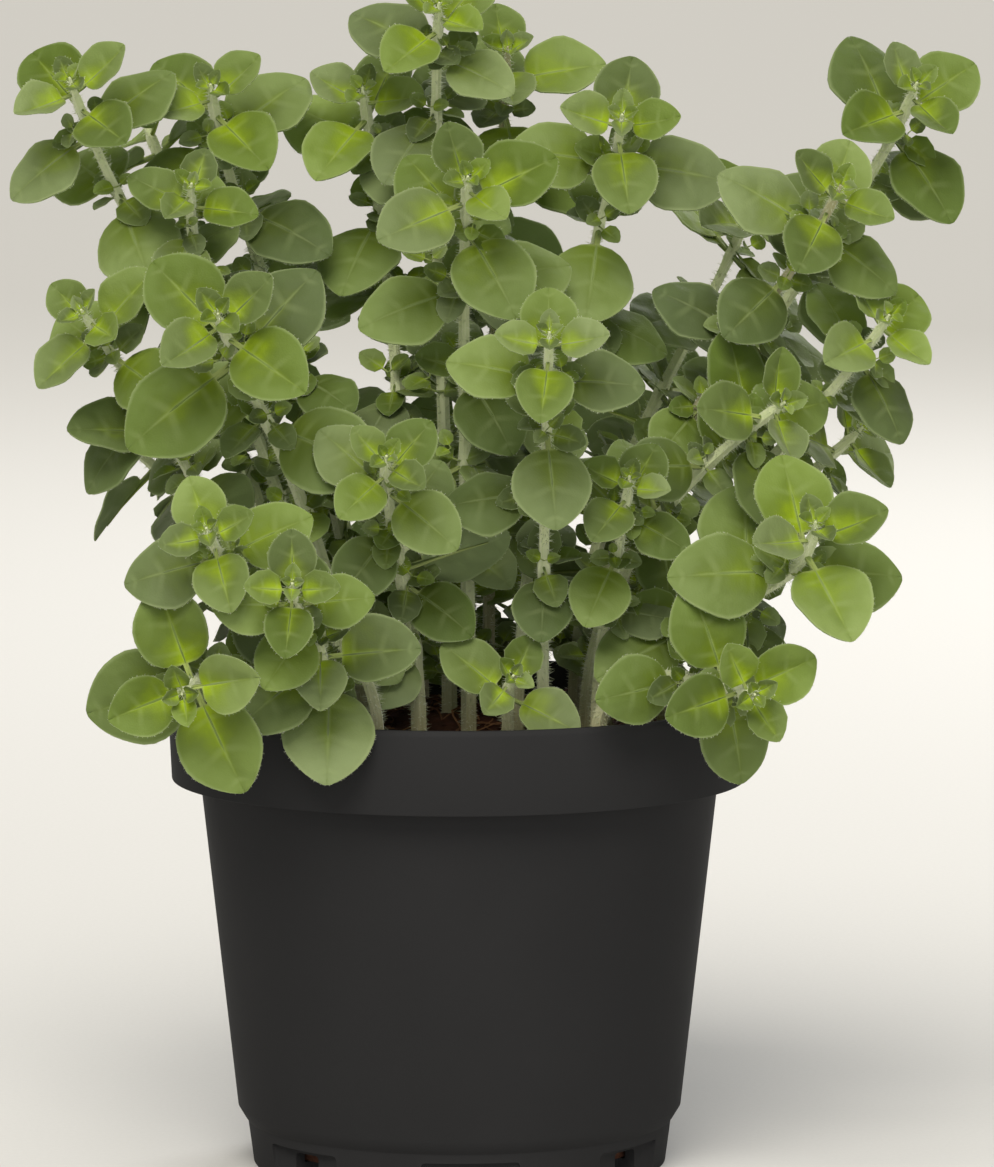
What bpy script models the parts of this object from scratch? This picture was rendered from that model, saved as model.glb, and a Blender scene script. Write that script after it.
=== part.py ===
# A pot of young oregano: leafy four-sided stems growing from soil in a moulded nursery pot.
# The tables are in millimetres and every mesh is in metres, +Z up. The origin is the middle of
# the pot's underside, and the plant's best side faces -Y.

import itertools
import math
import random
from collections import namedtuple

import bmesh
import bpy
from mathutils import Matrix, Quaternion, Vector
from mathutils.bvhtree import BVHTree
from mathutils.geometry import interpolate_bezier

MM = 0.001
UP = Vector((0, 0, 1))
GAP = 0.3  # clearance between pieces that touch on the real plant
SEED = 12
SHARP_DEG = 30.0  # edges that fold more than this stay sharp
OVERCUT = 1.0  # how far a cutter passes a face

# Pot
RIM_RADIUS = 60.0
POT_HEIGHT = 97.0
BAND_HEIGHT = 17.6
BAND_BOTTOM_RADIUS = 59.2
SHOULDER_RADIUS = 53.3  # body just under the band
HEEL_RADIUS = 45.8  # body at its lower end
HEEL_HEIGHT = 12.0
FOOT_HEIGHT = 9.5
FOOT_TOP_RADIUS = 43.8
FOOT_RADIUS = 42.6
WALL = 1.6
FLOOR_TOP = 3.6
FOOT_WALL = 3.4
PAD_RADIUS = 15.0  # flat disc in the middle of the underside
UNDERSIDE_RELIEF = 2.0
FOOT_PAD = 2.0  # how far the ring that the pot stands on passes the foot's wall
EDGE = 0.5  # the moulding's small chamfers
POT_STEPS = 42
POT_FINISH = ("pot_plastic", (0.025, 0.025, 0.026), 0.55)  # name, linear colour, roughness

# Drainage notches in the foot ring
NOTCHES = 7
FIRST_NOTCH_DEG = -86.7
NOTCH_WIDTH = 20.0
NOTCH_HEIGHT = 7.1
NOTCH_DEPTH = 1.2
DRAIN_WIDTH = 7.0
DRAIN_HEIGHT = 6.0

# Soil
SOIL_TOP = 89.0
SOIL_STEPS = 20
SOIL_RINGS = (48.0, 31.0, 14.0)
SOIL_RELIEF = 1.3
SOIL_HUMPS = ((9.0, 11.0, 1.3), (14.0, 6.0, 0.4))  # (size along X, size along Y, phase)
SOIL_FINISH = ("potting_soil", (0.060, 0.028, 0.016), 0.95)

# Stems: square tubes, thick at the foot
STEM_FOOT_SIDE = 2.7
STEM_TIP_SIDE = 1.5
LONGEST_BARE = 26.0
RING_BELOW_NODE = 1.6
STEM_DEPTH = 9.0  # how far a stem stands in the soil
STEM_STRAIGHT = 3.0  # how far it rises before it leans
FOOT_PULL = 0.42  # share of its reach in which it turns from upright
TIP_PULL = 0.34  # share of its reach in which it turns to its tip's aim
FIRST_RING_PAIR = 2  # the pairs above this one are too near the tip for a bend
HOLE_TOP = 6.0  # how far the cutter of a stem's hole stands above the soil
LEAF_FINISH = ("oregano_leaf", (0.130, 0.220, 0.060), 0.60)

# Leaves: opposite pairs, each a quarter turn from the next, counted from the tip
PAIR_DROP = (1.5, 4.5, 8.5, 15.5, 31.0, 50.0, 70.0)
PAIR_LENGTH = (6.5, 14.0, 20.0, 24.0, 24.5, 23.0, 20.0)
PAIR_LEAN_DEG = (28, 54, 66, 76, 85, 90, 95)
PAIR_DROOP_DEG = (-12, -10, 14, 24, 28, 30, 30)
PAIR_FOLD = (0.5, 0.4, 0.2, -0.1, -0.2, -0.25, -0.25)
FIRST_PAIR = 1  # the tiniest pair, folded in the bud, is too fine for a solid
PETIOLE = 0.2
WIDTH_RATIO = 0.92
LEAF_THICKNESS = 0.7
LEAF_ROOT_WIDTH = 0.8
LARGE_LEAF = 18.0
SMALL_LEAF = 12.0
LIGHT_SHARE = 0.6  # how much of the way a leaf turns its face to the light
LIGHT_LEAN = 0.8  # how far the light on a stem comes from the side it leans to
SIZE_DRAW = (0.9, 1.08)
TURN_DRAW_DEG = 9.0
LEAN_DRAW_DEG = 8.0
SIDES_LARGE = (0.12, 0.45, 0.80)  # shares of the blade where its outline has corners
SIDES_SMALL = (0.20, 0.65)
SIDES_TINY = (0.35,)
CENTRE = 0.48  # share of the blade where its faces meet on the midrib
BEND_START = PETIOLE + SIDES_LARGE[0] * (1 - PETIOLE)
FATTEST = 0.85  # below 1 puts a leaf's widest place nearer its base
ROUNDNESS = 0.55
FLAT_WITHIN_DEG = 3.0  # faces this close to flat become one where a leaf joins its stem

# How a leaf or stem gives way to what already grows there: the smallest change comes first
LIFTS_DEG = (0, 12, -12, 25, -25, 40, -40)
SWINGS_DEG = (0, 14, -14, 28, -28, 42, -42)
SHRINKS = (1.0, 0.85, 0.7)
SHRINK_COST = 110.0  # degrees of turning that count as much as losing all its length
SWAYS = (0.0, 0.12, -0.12, 0.24, -0.24, 0.36, -0.36)

Stem = namedtuple("Stem", "name foot tip aim size turn pairs")

# Where each stem leaves the soil, its tip, the way its tip points, its leaves' size, the turn of its
# top pair in degrees, and its pairs of leaves. What stands in front comes first.
STEMS = (
    Stem("stem_left_rosette", (-22, -30), (-47, -62, 180), (-0.10, -0.85, 0.50), 1.10, 125, 7),
    Stem("stem_cross", (17, -32), (18, -70, 177), (0.02, -0.62, 0.78), 0.85, 90, 7),
    Stem("stem_right_big", (38, -22), (70, -72, 140), (0.05, -0.50, 0.85), 1.08, 115, 6),
    Stem("stem_centre", (2, -20), (2, -45, 206), (0.05, -0.75, 0.65), 0.95, 30, 7),
    Stem("stem_left_centre", (-8, -30), (-14, -62, 152), (0.05, -0.75, 0.65), 0.75, 50, 7),
    Stem("stem_right_low", (28, -38), (58, -80, 107), (0.25, -0.95, 0.10), 0.85, 45, 5),
    Stem("stem_left_lower", (-32, -34), (-49, -74, 139), (-0.15, -0.75, 0.60), 0.80, 97, 5),
    Stem("stem_left_front", (-16, -40), (-32, -82, 129), (0.10, -0.80, 0.55), 0.70, 90, 5),
    Stem("stem_left_rim", (-38, -28), (-54, -72, 106), (-0.10, -0.95, -0.10), 1.12, 95, 4),
    Stem("stem_front_low", (-22, -40), (-27, -64, 117), (0.10, -0.65, 0.75), 1.05, 5, 4),
    Stem("stem_arch", (26, -14), (65, -44, 161), (0.50, -0.70, 0.45), 0.85, 35, 6),
    Stem("stem_right_inner", (28, -28), (34, -52, 147), (0.05, -0.60, 0.80), 0.70, 70, 6),
    Stem("stem_tall_left", (-34, -8), (-79, -8, 224), (-0.20, -0.60, 0.80), 0.95, 112, 7),
    Stem("stem_left_edge", (-40, -14), (-76, -24, 178), (-0.35, -0.65, 0.65), 0.90, 20, 6),
    Stem("stem_left_top", (-20, -6), (-51, 8, 222), (-0.05, -0.65, 0.75), 0.95, 128, 7),
    Stem("stem_left_small", (-28, -18), (-54, -16, 203), (0.10, -0.65, 0.75), 0.75, -20, 5),
    Stem("stem_centre_tall", (-2, -4), (-4, -2, 239), (0.05, -0.60, 0.80), 0.85, 60, 7),
    Stem("stem_right_of_centre", (12, -14), (33, -18, 217), (0.05, -0.80, 0.60), 0.95, 90, 7),
    Stem("stem_right_upper", (30, -2), (76, -42, 204), (0.25, -0.65, 0.65), 0.90, 76, 7),
    Stem("stem_far_right", (36, 6), (93, -8, 223), (0.20, -0.65, 0.70), 0.95, 45, 7),
    Stem("stem_right_mid", (42, -10), (86, -38, 178), (0.35, -0.60, 0.70), 0.85, 57, 6),
    Stem("stem_sprout", (10, -44), (11, -50, 107), (0.30, -0.80, 0.40), 0.80, -25, 3),
    Stem("stem_grey_left", (-10, 8), (-20, 18, 221), (-0.10, -0.60, 0.80), 0.95, 60, 7),
    Stem("stem_mid_back", (6, 12), (10, 26, 229), (0.05, -0.55, 0.80), 1.00, 10, 7),
    Stem("stem_back_right", (24, 14), (62, 30, 199), (0.30, -0.30, 0.90), 0.95, 60, 6),
    Stem("stem_back_left", (-30, 8), (-66, 32, 214), (-0.35, 0.10, 0.90), 0.95, 30, 6),
    Stem("stem_rear_left", (-20, 26), (-42, 66, 178), (-0.25, 0.50, 0.80), 1.05, 45, 6),
    Stem("stem_rear_centre", (2, 30), (2, 66, 194), (0.05, 0.50, 0.85), 1.00, 20, 7),
    Stem("stem_rear_right", (28, 30), (48, 66, 158), (0.30, 0.60, 0.70), 1.05, 70, 6),
    Stem("stem_rear_low", (-8, 42), (-14, 78, 124), (-0.10, 0.85, 0.45), 1.00, 75, 4),
    Stem("stem_side_left", (-42, 12), (-70, 34, 146), (-0.70, 0.10, 0.60), 0.95, 15, 5),
    Stem("stem_side_right", (44, 14), (84, 24, 150), (0.55, -0.50, 0.60), 1.00, 55, 5),
)

Leaf = namedtuple("Leaf", "root along face length width droop fold")


# Shared mesh helpers


def clear_scene():
    for obj in list(bpy.data.objects):
        bpy.data.objects.remove(obj)


def material(name, colour, roughness):
    """A Principled material, its colour given as linear RGB."""
    made = bpy.data.materials.new(name)
    made.use_nodes = True
    shader = made.node_tree.nodes["Principled BSDF"]
    shader.inputs["Base Color"].default_value = (*colour, 1)
    shader.inputs["Roughness"].default_value = roughness
    shader.inputs["Metallic"].default_value = 0
    return made


def mesh_object(name, points, faces, finish=None):
    """An object from points in millimetres."""
    mesh = bpy.data.meshes.new(name)
    mesh.from_pydata([Vector(point) * MM for point in points], [], faces)
    if finish:
        mesh.materials.append(finish)
    obj = bpy.data.objects.new(name, mesh)
    bpy.context.scene.collection.objects.link(obj)
    return obj


def turned_solid(name, profile, steps, finish):
    """A closed solid from a profile of (radius, height) that starts and ends on the Z axis."""
    bm = bmesh.new()
    points = [bm.verts.new((radius * MM, 0, height * MM)) for radius, height in profile]
    edges = [bm.edges.new(pair) for pair in itertools.pairwise(points)]
    bmesh.ops.spin(
        bm,
        geom=points + edges,
        cent=(0, 0, 0),
        axis=UP,
        angle=math.tau,
        steps=steps,
        use_merge=True,
    )
    bmesh.ops.remove_doubles(bm, verts=bm.verts, dist=1e-6)
    bmesh.ops.recalc_face_normals(bm, faces=bm.faces)
    mesh = bpy.data.meshes.new(name)
    bm.to_mesh(mesh)
    bm.free()
    mesh.materials.append(finish)
    mesh.shade_smooth()
    mesh.set_sharp_from_angle(angle=math.radians(SHARP_DEG))
    obj = bpy.data.objects.new(name, mesh)
    bpy.context.scene.collection.objects.link(obj)
    return obj


def block_points(centre, turn, size):
    """The eight corners of a box of the given size, turned about Z."""
    spin = Matrix.Rotation(turn, 3, "Z")
    corners = itertools.product((-0.5, 0.5), repeat=3)
    return [Vector(centre) + spin @ Vector([c * s for c, s in zip(corner, size)]) for corner in corners]


BLOCK_FACES = ((0, 1, 3, 2), (4, 6, 7, 5), (0, 4, 5, 1), (2, 3, 7, 6), (0, 2, 6, 4), (1, 5, 7, 3))


def cutter(name, blocks):
    """A hidden object of separate boxes, for a Boolean to take away."""
    points, faces = [], []
    for centre, turn, size in blocks:
        start = len(points)
        points += block_points(centre, turn, size)
        faces += [[start + corner for corner in face] for face in BLOCK_FACES]
    obj = mesh_object(name, points, faces)
    obj.hide_render = True
    obj.display_type = "WIRE"
    return obj


def cut_away(obj, tool):
    cut = obj.modifiers.new(tool.name, "BOOLEAN")
    cut.operation = "DIFFERENCE"
    cut.object = tool


# Pot


def pot_profile():
    """The pot's section from the middle of its underside, up its outside and back down its inside."""
    band_bottom = POT_HEIGHT - BAND_HEIGHT
    foot_inner = FOOT_RADIUS - FOOT_WALL
    underside = [
        (0, 0),
        (PAD_RADIUS, 0),
        (PAD_RADIUS + EDGE, UNDERSIDE_RELIEF),
        (foot_inner - FOOT_PAD - EDGE, UNDERSIDE_RELIEF),
        (foot_inner - FOOT_PAD, 0),
    ]
    outside = [
        (FOOT_RADIUS, 0),
        (FOOT_TOP_RADIUS, FOOT_HEIGHT - EDGE),
        (FOOT_TOP_RADIUS + EDGE, FOOT_HEIGHT),
        (HEEL_RADIUS, HEEL_HEIGHT),
        (SHOULDER_RADIUS, band_bottom),
        (BAND_BOTTOM_RADIUS, band_bottom + EDGE),
        (RIM_RADIUS, POT_HEIGHT - 2 * EDGE),
        (RIM_RADIUS - EDGE, POT_HEIGHT),
    ]
    inside = [
        (RIM_RADIUS - WALL, POT_HEIGHT),
        (BAND_BOTTOM_RADIUS - WALL, band_bottom + WALL),
        (SHOULDER_RADIUS - WALL, band_bottom + EDGE),
        (HEEL_RADIUS - WALL, HEEL_HEIGHT + 2 * EDGE),
        (foot_inner + EDGE, FOOT_HEIGHT + WALL),
        (foot_inner, FLOOR_TOP),
        (0, FLOOR_TOP),
    ]
    return underside + outside + inside


def make_pot(finish):
    pot = turned_solid("pot", pot_profile(), POT_STEPS, finish)
    turns = [math.radians(FIRST_NOTCH_DEG) + n * math.tau / NOTCHES for n in range(NOTCHES)]
    recess_reach = FOOT_RADIUS - NOTCH_DEPTH + NOTCH_WIDTH / 2
    drain_reach = FOOT_RADIUS - FOOT_WALL / 2
    recesses = [
        (
            (math.cos(turn) * recess_reach, math.sin(turn) * recess_reach, NOTCH_HEIGHT / 2 - OVERCUT),
            turn,
            (NOTCH_WIDTH, NOTCH_WIDTH, NOTCH_HEIGHT + 2 * OVERCUT),
        )
        for turn in turns
    ]
    drains = [
        (
            (math.cos(turn) * drain_reach, math.sin(turn) * drain_reach, DRAIN_HEIGHT / 2 - OVERCUT),
            turn,
            (FOOT_WALL + 2 * OVERCUT, DRAIN_WIDTH, DRAIN_HEIGHT + 2 * OVERCUT),
        )
        for turn in turns
    ]
    cut_away(pot, cutter("notch_cutter", recesses))
    cut_away(pot, cutter("drain_cutter", drains))
    return pot


# Soil


def soil_height(x, y):
    """The uneven top of the soil: low humps a few centimetres across."""
    humps = [math.sin(x / along + phase) * math.cos(y / across) for along, across, phase in SOIL_HUMPS]
    return SOIL_TOP + SOIL_RELIEF * sum(humps)


def make_soil(finish):
    ledge = POT_HEIGHT - BAND_HEIGHT + WALL + 2 * GAP
    fit = math.cos(math.pi / POT_STEPS)  # the pot's flats lie this much inside its corners
    foot_inner = (FOOT_RADIUS - FOOT_WALL) * fit - GAP
    heel_inner = HEEL_RADIUS * fit - WALL - 2 * GAP
    shoulder_inner = SHOULDER_RADIUS * fit - WALL - 2 * GAP
    band_inner = (BAND_BOTTOM_RADIUS - WALL) * fit - 2 * GAP
    sides = [
        (foot_inner, FLOOR_TOP + GAP),
        (foot_inner, FOOT_HEIGHT + WALL + 2 * GAP),
        (heel_inner, HEEL_HEIGHT + WALL + 2 * GAP),
        (shoulder_inner, ledge - GAP),
        (band_inner, ledge),
        (band_inner, SOIL_TOP - SOIL_RELIEF),
    ]
    top = [(radius, SOIL_TOP) for radius in SOIL_RINGS]
    profile = [(0, FLOOR_TOP + GAP), *sides, *top, (0, SOIL_TOP)]
    soil = turned_solid("soil", profile, SOIL_STEPS, finish)
    for vertex in soil.data.vertices:
        x, y, z = vertex.co / MM
        if z > SOIL_TOP - GAP:
            vertex.co.z = soil_height(x, y) * MM
    side = STEM_FOOT_SIDE + 2 * GAP
    depth = STEM_DEPTH + GAP
    holes = [
        (
            (*stem.foot, SOIL_TOP + (HOLE_TOP - depth) / 2),
            math.radians(stem.turn),
            (side, side, HOLE_TOP + depth),
        )
        for stem in STEMS
    ]
    cut_away(soil, cutter("stem_hole_cutter", holes))
    return soil


# Stems


class StemLine:
    """The middle line of a stem, from its foot in the soil to its tip."""

    samples = 80

    def __init__(self, stem, sway):
        foot = Vector((*stem.foot, SOIL_TOP + STEM_STRAIGHT))
        tip = Vector(stem.tip)
        reach = (tip - foot).length
        across = Vector((foot.y - tip.y, tip.x - foot.x, 0)).normalized()
        start = foot + (UP + across * sway) * reach * FOOT_PULL
        end = tip - Vector(stem.aim).normalized() * reach * TIP_PULL
        below = Vector((*stem.foot, SOIL_TOP - STEM_DEPTH))
        self.points = [below, *interpolate_bezier(foot, start, end, tip, self.samples)]
        self.distances = [0.0]
        for first, second in itertools.pairwise(self.points):
            self.distances.append(self.distances[-1] + (second - first).length)
        self.length = self.distances[-1]

    def at(self, distance):
        """The point and direction at a distance from the foot."""
        for index in range(len(self.points) - 1):
            if self.distances[index + 1] >= distance or index == len(self.points) - 2:
                first, second = self.points[index], self.points[index + 1]
                share = (distance - self.distances[index]) / (second - first).length
                return first.lerp(second, share), (second - first).normalized()


def across_stem(direction, turn):
    """The way that a turn about a stem faces, for a stem that runs in a direction."""
    return UP.rotation_difference(direction) @ Vector((math.cos(turn), math.sin(turn), 0))


def ring_places(stem, line):
    """Where a stem's tube has its corners: its ends, just below each pair and along any bare stretch."""
    places = [0.0, STEM_DEPTH + STEM_STRAIGHT]
    drops = [drop * stem.size for drop in PAIR_DROP[FIRST_RING_PAIR : stem.pairs]]
    nodes = [line.length - drop - RING_BELOW_NODE for drop in drops]
    for place in [*sorted(nodes), line.length]:
        bare = place - places[-1]
        steps = max(1, round(bare / LONGEST_BARE))
        places += [place - bare * (steps - 1 - step) / steps for step in range(steps)]
    return places


def tube(stem, line, grow=0.0):
    """A stem's square tube, as points and triangles."""
    rings = ring_places(stem, line)
    turn = math.radians(stem.turn)
    points, faces = [], []
    for distance in rings:
        middle, direction = line.at(distance)
        share = distance / line.length
        side = STEM_FOOT_SIDE + (STEM_TIP_SIDE - STEM_FOOT_SIDE) * share
        radius = (side / 2 + grow) * math.sqrt(2)
        for corner in range(4):
            corner_turn = turn + math.radians(45 + 90 * corner)
            points.append(middle + across_stem(direction, corner_turn) * radius)
    for ring in range(len(rings) - 1):
        for corner in range(4):
            a = 4 * ring + corner
            b = 4 * ring + (corner + 1) % 4
            faces += [(a, b, b + 4), (a, b + 4, a + 4)]
    last = len(points) - 4
    faces += [(0, 2, 1), (0, 3, 2), (last, last + 1, last + 2), (last, last + 2, last + 3)]
    return points, faces


# Leaves


def half_width(leaf, blade):
    """Half the blade's width at a share of its length: widest below the middle, drawn out at the tip."""
    return leaf.width / 2 * math.sin(math.pi * blade**FATTEST) ** ROUNDNESS


def leaf_point(leaf, along, across, lift=0.0):
    """A place on a leaf: along from 0 at the root to 1 at the tip, across from -1 to 1 at its margins."""
    bend = math.radians(leaf.droop)
    radius = leaf.length * (1 - BEND_START) / bend
    turned = bend * max(0.0, along - BEND_START) / (1 - BEND_START)
    middle = leaf.root + leaf.along * leaf.length * min(along, BEND_START)
    middle += leaf.along * radius * math.sin(turned) - leaf.face * radius * (1 - math.cos(turned))
    face = leaf.face * math.cos(turned) + leaf.along * math.sin(turned)
    side = leaf.along.cross(leaf.face)
    blade = (along - PETIOLE) / (1 - PETIOLE)
    half = half_width(leaf, min(blade, 1)) if blade > 0 else LEAF_ROOT_WIDTH / 2
    return middle + side * half * across + face * (leaf.fold * half * abs(across) + lift)


def leaf_outline(leaf):
    """(along, across) of the outline's points, from the root round the tip and back."""
    blade_sides = SIDES_TINY
    if leaf.length > SMALL_LEAF:
        blade_sides = SIDES_SMALL
    if leaf.length > LARGE_LEAF:
        blade_sides = SIDES_LARGE
    sides = [PETIOLE + share * (1 - PETIOLE) for share in blade_sides]
    left = [(0.0, -1), *[(along, -1) for along in sides]]
    right = [*[(along, 1) for along in reversed(sides)], (0.0, 1)]
    return [*left, (1.0, 0), *right]


def leaf_shape(leaf, grow=0.0, without_root=False):
    """A leaf as a thin closed solid: a flat root, then faces that fan round a point on the midrib."""
    outline = leaf_outline(leaf)
    thick = LEAF_THICKNESS / 2 + grow
    points = []
    for lift in (thick, -thick):
        points += [leaf_point(leaf, along, across, lift) for along, across in outline]
        points.append(leaf_point(leaf, PETIOLE + CENTRE * (1 - PETIOLE), 0, lift))
    last = len(outline) - 1
    middle = len(outline)
    under = middle + 1
    faces = []
    for first in range(1, last - 1):
        second = first + 1
        faces.append((middle, second, first))
        faces.append((under + middle, under + first, under + second))
        faces.append((first, second, under + second))
        faces.append((first, under + second, under + first))
    faces.append((middle, 1, last - 1))
    faces.append((under + middle, under + last - 1, under + 1))
    if not without_root:
        faces.append((0, last, last - 1, 1))
        faces.append((under, under + 1, under + last - 1, under + last))
        faces.append((0, 1, under + 1, under))
        faces.append((last - 1, last, under + last, under + last - 1))
        faces.append((last, 0, under, under + last))
    return points, faces


def light_on(stem):
    """The way the light comes from for a stem's leaves: where it leans, and above."""
    aim = Vector(stem.aim).normalized()
    return (aim + Vector((aim.x, aim.y, 0)).normalized() * LIGHT_LEAN).normalized()


def leaf_on(stem, line, pair, side, draw, lift, swing, shrink):
    """One leaf of a pair, with the change that it makes to clear its neighbours."""
    size_draw, turn_draw, lean_draw = draw
    root, direction = line.at(line.length - PAIR_DROP[pair] * stem.size)
    turn = math.radians(stem.turn + 90 * pair + 180 * side + turn_draw + swing)
    lean = math.radians(PAIR_LEAN_DEG[pair] + lean_draw - lift)
    outward = across_stem(direction, turn)
    along = direction * math.cos(lean) + outward * math.sin(lean)
    face = direction * math.sin(lean) - outward * math.cos(lean)
    to_light = Quaternion().slerp(face.rotation_difference(light_on(stem)), LIGHT_SHARE)
    length = PAIR_LENGTH[pair] * stem.size * size_draw * shrink
    width = length * (1 - PETIOLE) * WIDTH_RATIO
    droop, fold = PAIR_DROOP_DEG[pair], PAIR_FOLD[pair]
    return Leaf(root, to_light @ along, to_light @ face, length, width, droop, fold)


# Growing the plant: each piece gives way to those that are already there


def changes():
    """(lift, swing, shrink) for a leaf, from none to the largest."""
    every = itertools.product(LIFTS_DEG, SWINGS_DEG, SHRINKS)
    return sorted(every, key=lambda each: abs(each[0]) + abs(each[1]) + SHRINK_COST * (1 - each[2]))


class Grown:
    """What already takes up space, with a sphere round each shape to pass over far ones."""

    def __init__(self):
        self.shapes = []

    def add(self, owner, points, faces):
        middle = sum(points, Vector()) / len(points)
        reach = max((point - middle).length for point in points)
        self.shapes.append((owner, middle, reach, BVHTree.FromPolygons(points, faces)))

    def touches(self, points, faces, wanted):
        """Whether a shape crosses any grown one whose owner is wanted."""
        middle = sum(points, Vector()) / len(points)
        reach = max((point - middle).length for point in points)
        tree = None
        for owner, other_middle, other_reach, other_tree in self.shapes:
            if not wanted(owner) or (middle - other_middle).length > reach + other_reach:
                continue
            tree = tree or BVHTree.FromPolygons(points, faces)
            if tree.overlap(other_tree):
                return True
        return False


def add_object_shape(grown, owner, obj):
    """Adds the pot or the soil, as its modifiers leave it, to what is grown."""
    evaluated = obj.evaluated_get(bpy.context.evaluated_depsgraph_get())
    points = [vertex.co / MM for vertex in evaluated.data.vertices]
    faces = [tuple(polygon.vertices) for polygon in evaluated.data.polygons]
    grown.add(owner, points, faces)


def grow_lines(grown):
    """Each stem's line, swayed sideways where it would cross another stem."""
    lines = {}
    for stem in STEMS:
        for sway in SWAYS:
            line = StemLine(stem, sway)
            points, faces = tube(stem, line, grow=GAP)
            if not grown.touches(points, faces, lambda owner: owner != "soil"):
                break
        else:
            raise ValueError(f"{stem.name} crosses another stem")
        lines[stem.name] = line
        grown.add(stem.name, *tube(stem, line))
    return lines


def grow_leaves(grown, lines):
    """The leaves of each stem that find room."""
    options = changes()
    leaves = {stem.name: [] for stem in STEMS}
    for number, stem in enumerate(STEMS):
        draws = random.Random(SEED + number)
        for pair, side in itertools.product(range(FIRST_PAIR, stem.pairs), (0, 1)):
            size_draw = draws.uniform(*SIZE_DRAW)
            turn_draw = draws.uniform(-TURN_DRAW_DEG, TURN_DRAW_DEG)
            lean_draw = draws.uniform(-LEAN_DRAW_DEG, LEAN_DRAW_DEG)
            for change in options:
                leaf = leaf_on(stem, lines[stem.name], pair, side, (size_draw, turn_draw, lean_draw), *change)
                if has_room(grown, stem.name, leaf):
                    leaves[stem.name].append(leaf)
                    grown.add(stem.name, *leaf_shape(leaf))
                    break
    return leaves


def has_room(grown, owner, leaf):
    """Whether a leaf clears every other node, and its blade clears its own stem and leaves."""
    whole = leaf_shape(leaf, grow=GAP)
    if grown.touches(*whole, lambda other: other != owner):
        return False
    blade = leaf_shape(leaf, grow=GAP, without_root=True)
    return not grown.touches(*blade, lambda other: other == owner)


def make_stem(stem, line, leaves, finish):
    """The stem's tube and its leaves, joined into one solid."""
    points, faces = tube(stem, line)
    obj = mesh_object(stem.name, points, faces, finish)
    group = bpy.data.collections.new(stem.name + "_leaves")
    for leaf in leaves:
        blade = mesh_object("leaf", *leaf_shape(leaf))
        group.objects.link(blade)
    join = obj.modifiers.new("leaves", "BOOLEAN")
    join.operation = "UNION"
    join.operand_type = "COLLECTION"
    join.collection = group
    join.solver = "MANIFOLD"
    bpy.context.view_layer.objects.active = obj
    with bpy.context.temp_override(object=obj):
        bpy.ops.object.modifier_apply(modifier=join.name)
    for blade in list(group.objects):
        bpy.data.objects.remove(blade)
    bpy.data.collections.remove(group)
    flatten = obj.modifiers.new("flatten", "DECIMATE")
    flatten.decimate_type = "DISSOLVE"
    flatten.angle_limit = math.radians(FLAT_WITHIN_DEG)
    return obj


def main():
    clear_scene()
    pot = make_pot(material(*POT_FINISH))
    soil = make_soil(material(*SOIL_FINISH))
    bpy.context.view_layer.update()
    green = material(*LEAF_FINISH)
    grown = Grown()
    add_object_shape(grown, "pot", pot)
    add_object_shape(grown, "soil", soil)
    lines = grow_lines(grown)
    leaves = grow_leaves(grown, lines)
    for stem in STEMS:
        make_stem(stem, lines[stem.name], leaves[stem.name], green)


main()
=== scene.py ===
# A young oregano plant in its black nursery pot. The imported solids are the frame: every stem and
# leaf is found in them again and grown in a finer shape, with the buds, shoots and hairs between.

import itertools
import math
import random
from collections import namedtuple

import bpy
import numpy as np
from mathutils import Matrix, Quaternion, Vector, noise
from mathutils.geometry import interpolate_bezier
from mathutils.kdtree import KDTree


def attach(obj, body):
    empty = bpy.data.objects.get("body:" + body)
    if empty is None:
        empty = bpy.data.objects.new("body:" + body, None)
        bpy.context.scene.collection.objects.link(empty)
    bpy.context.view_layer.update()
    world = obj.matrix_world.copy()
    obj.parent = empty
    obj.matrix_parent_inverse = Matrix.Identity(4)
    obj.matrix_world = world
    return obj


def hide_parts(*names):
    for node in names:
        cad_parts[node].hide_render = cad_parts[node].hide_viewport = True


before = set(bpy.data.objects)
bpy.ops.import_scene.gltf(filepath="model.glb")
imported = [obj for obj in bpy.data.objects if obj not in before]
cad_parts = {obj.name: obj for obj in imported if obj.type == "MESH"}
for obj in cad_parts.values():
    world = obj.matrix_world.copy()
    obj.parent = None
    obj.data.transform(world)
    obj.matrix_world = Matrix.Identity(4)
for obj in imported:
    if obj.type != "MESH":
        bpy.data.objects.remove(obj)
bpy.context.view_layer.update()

MM = 0.001
UP = Vector((0, 0, 1))
GAP = 0.3
SEED = 12  # of the draws that the solids were grown with
LOOKS_SEED = 700

# Pot
RIM_RADIUS = 60.0
POT_HEIGHT = 97.0
BAND_HEIGHT = 17.6
BAND_BOTTOM_RADIUS = 59.2
SHOULDER_RADIUS = 53.3
HEEL_RADIUS = 45.8
HEEL_HEIGHT = 12.0
FOOT_HEIGHT = 9.5
FOOT_TOP_RADIUS = 43.8
FOOT_RADIUS = 42.6
WALL = 1.6
FLOOR_TOP = 3.6
FOOT_WALL = 3.4
PAD_RADIUS = 15.0
UNDERSIDE_RELIEF = 2.0
FOOT_PAD = 2.0
EDGE = 0.5
POT_SIDES = 128
EDGE_ROUND = 0.22
ROUND_STEPS = 2
EASE_ABOVE_DEG = 25.0  # edges that fold more than this are eased
POT_SMOOTH_DEG = 28.0
NOTCHES = 7
FIRST_NOTCH_DEG = -86.7
NOTCH_WIDTH = 20.0
NOTCH_HEIGHT = 7.1
NOTCH_DEPTH = 1.2
DRAIN_WIDTH = 7.0
DRAIN_HEIGHT = 6.0
OVERCUT = 1.0
CUTTER_ROUND = 0.8

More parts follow.
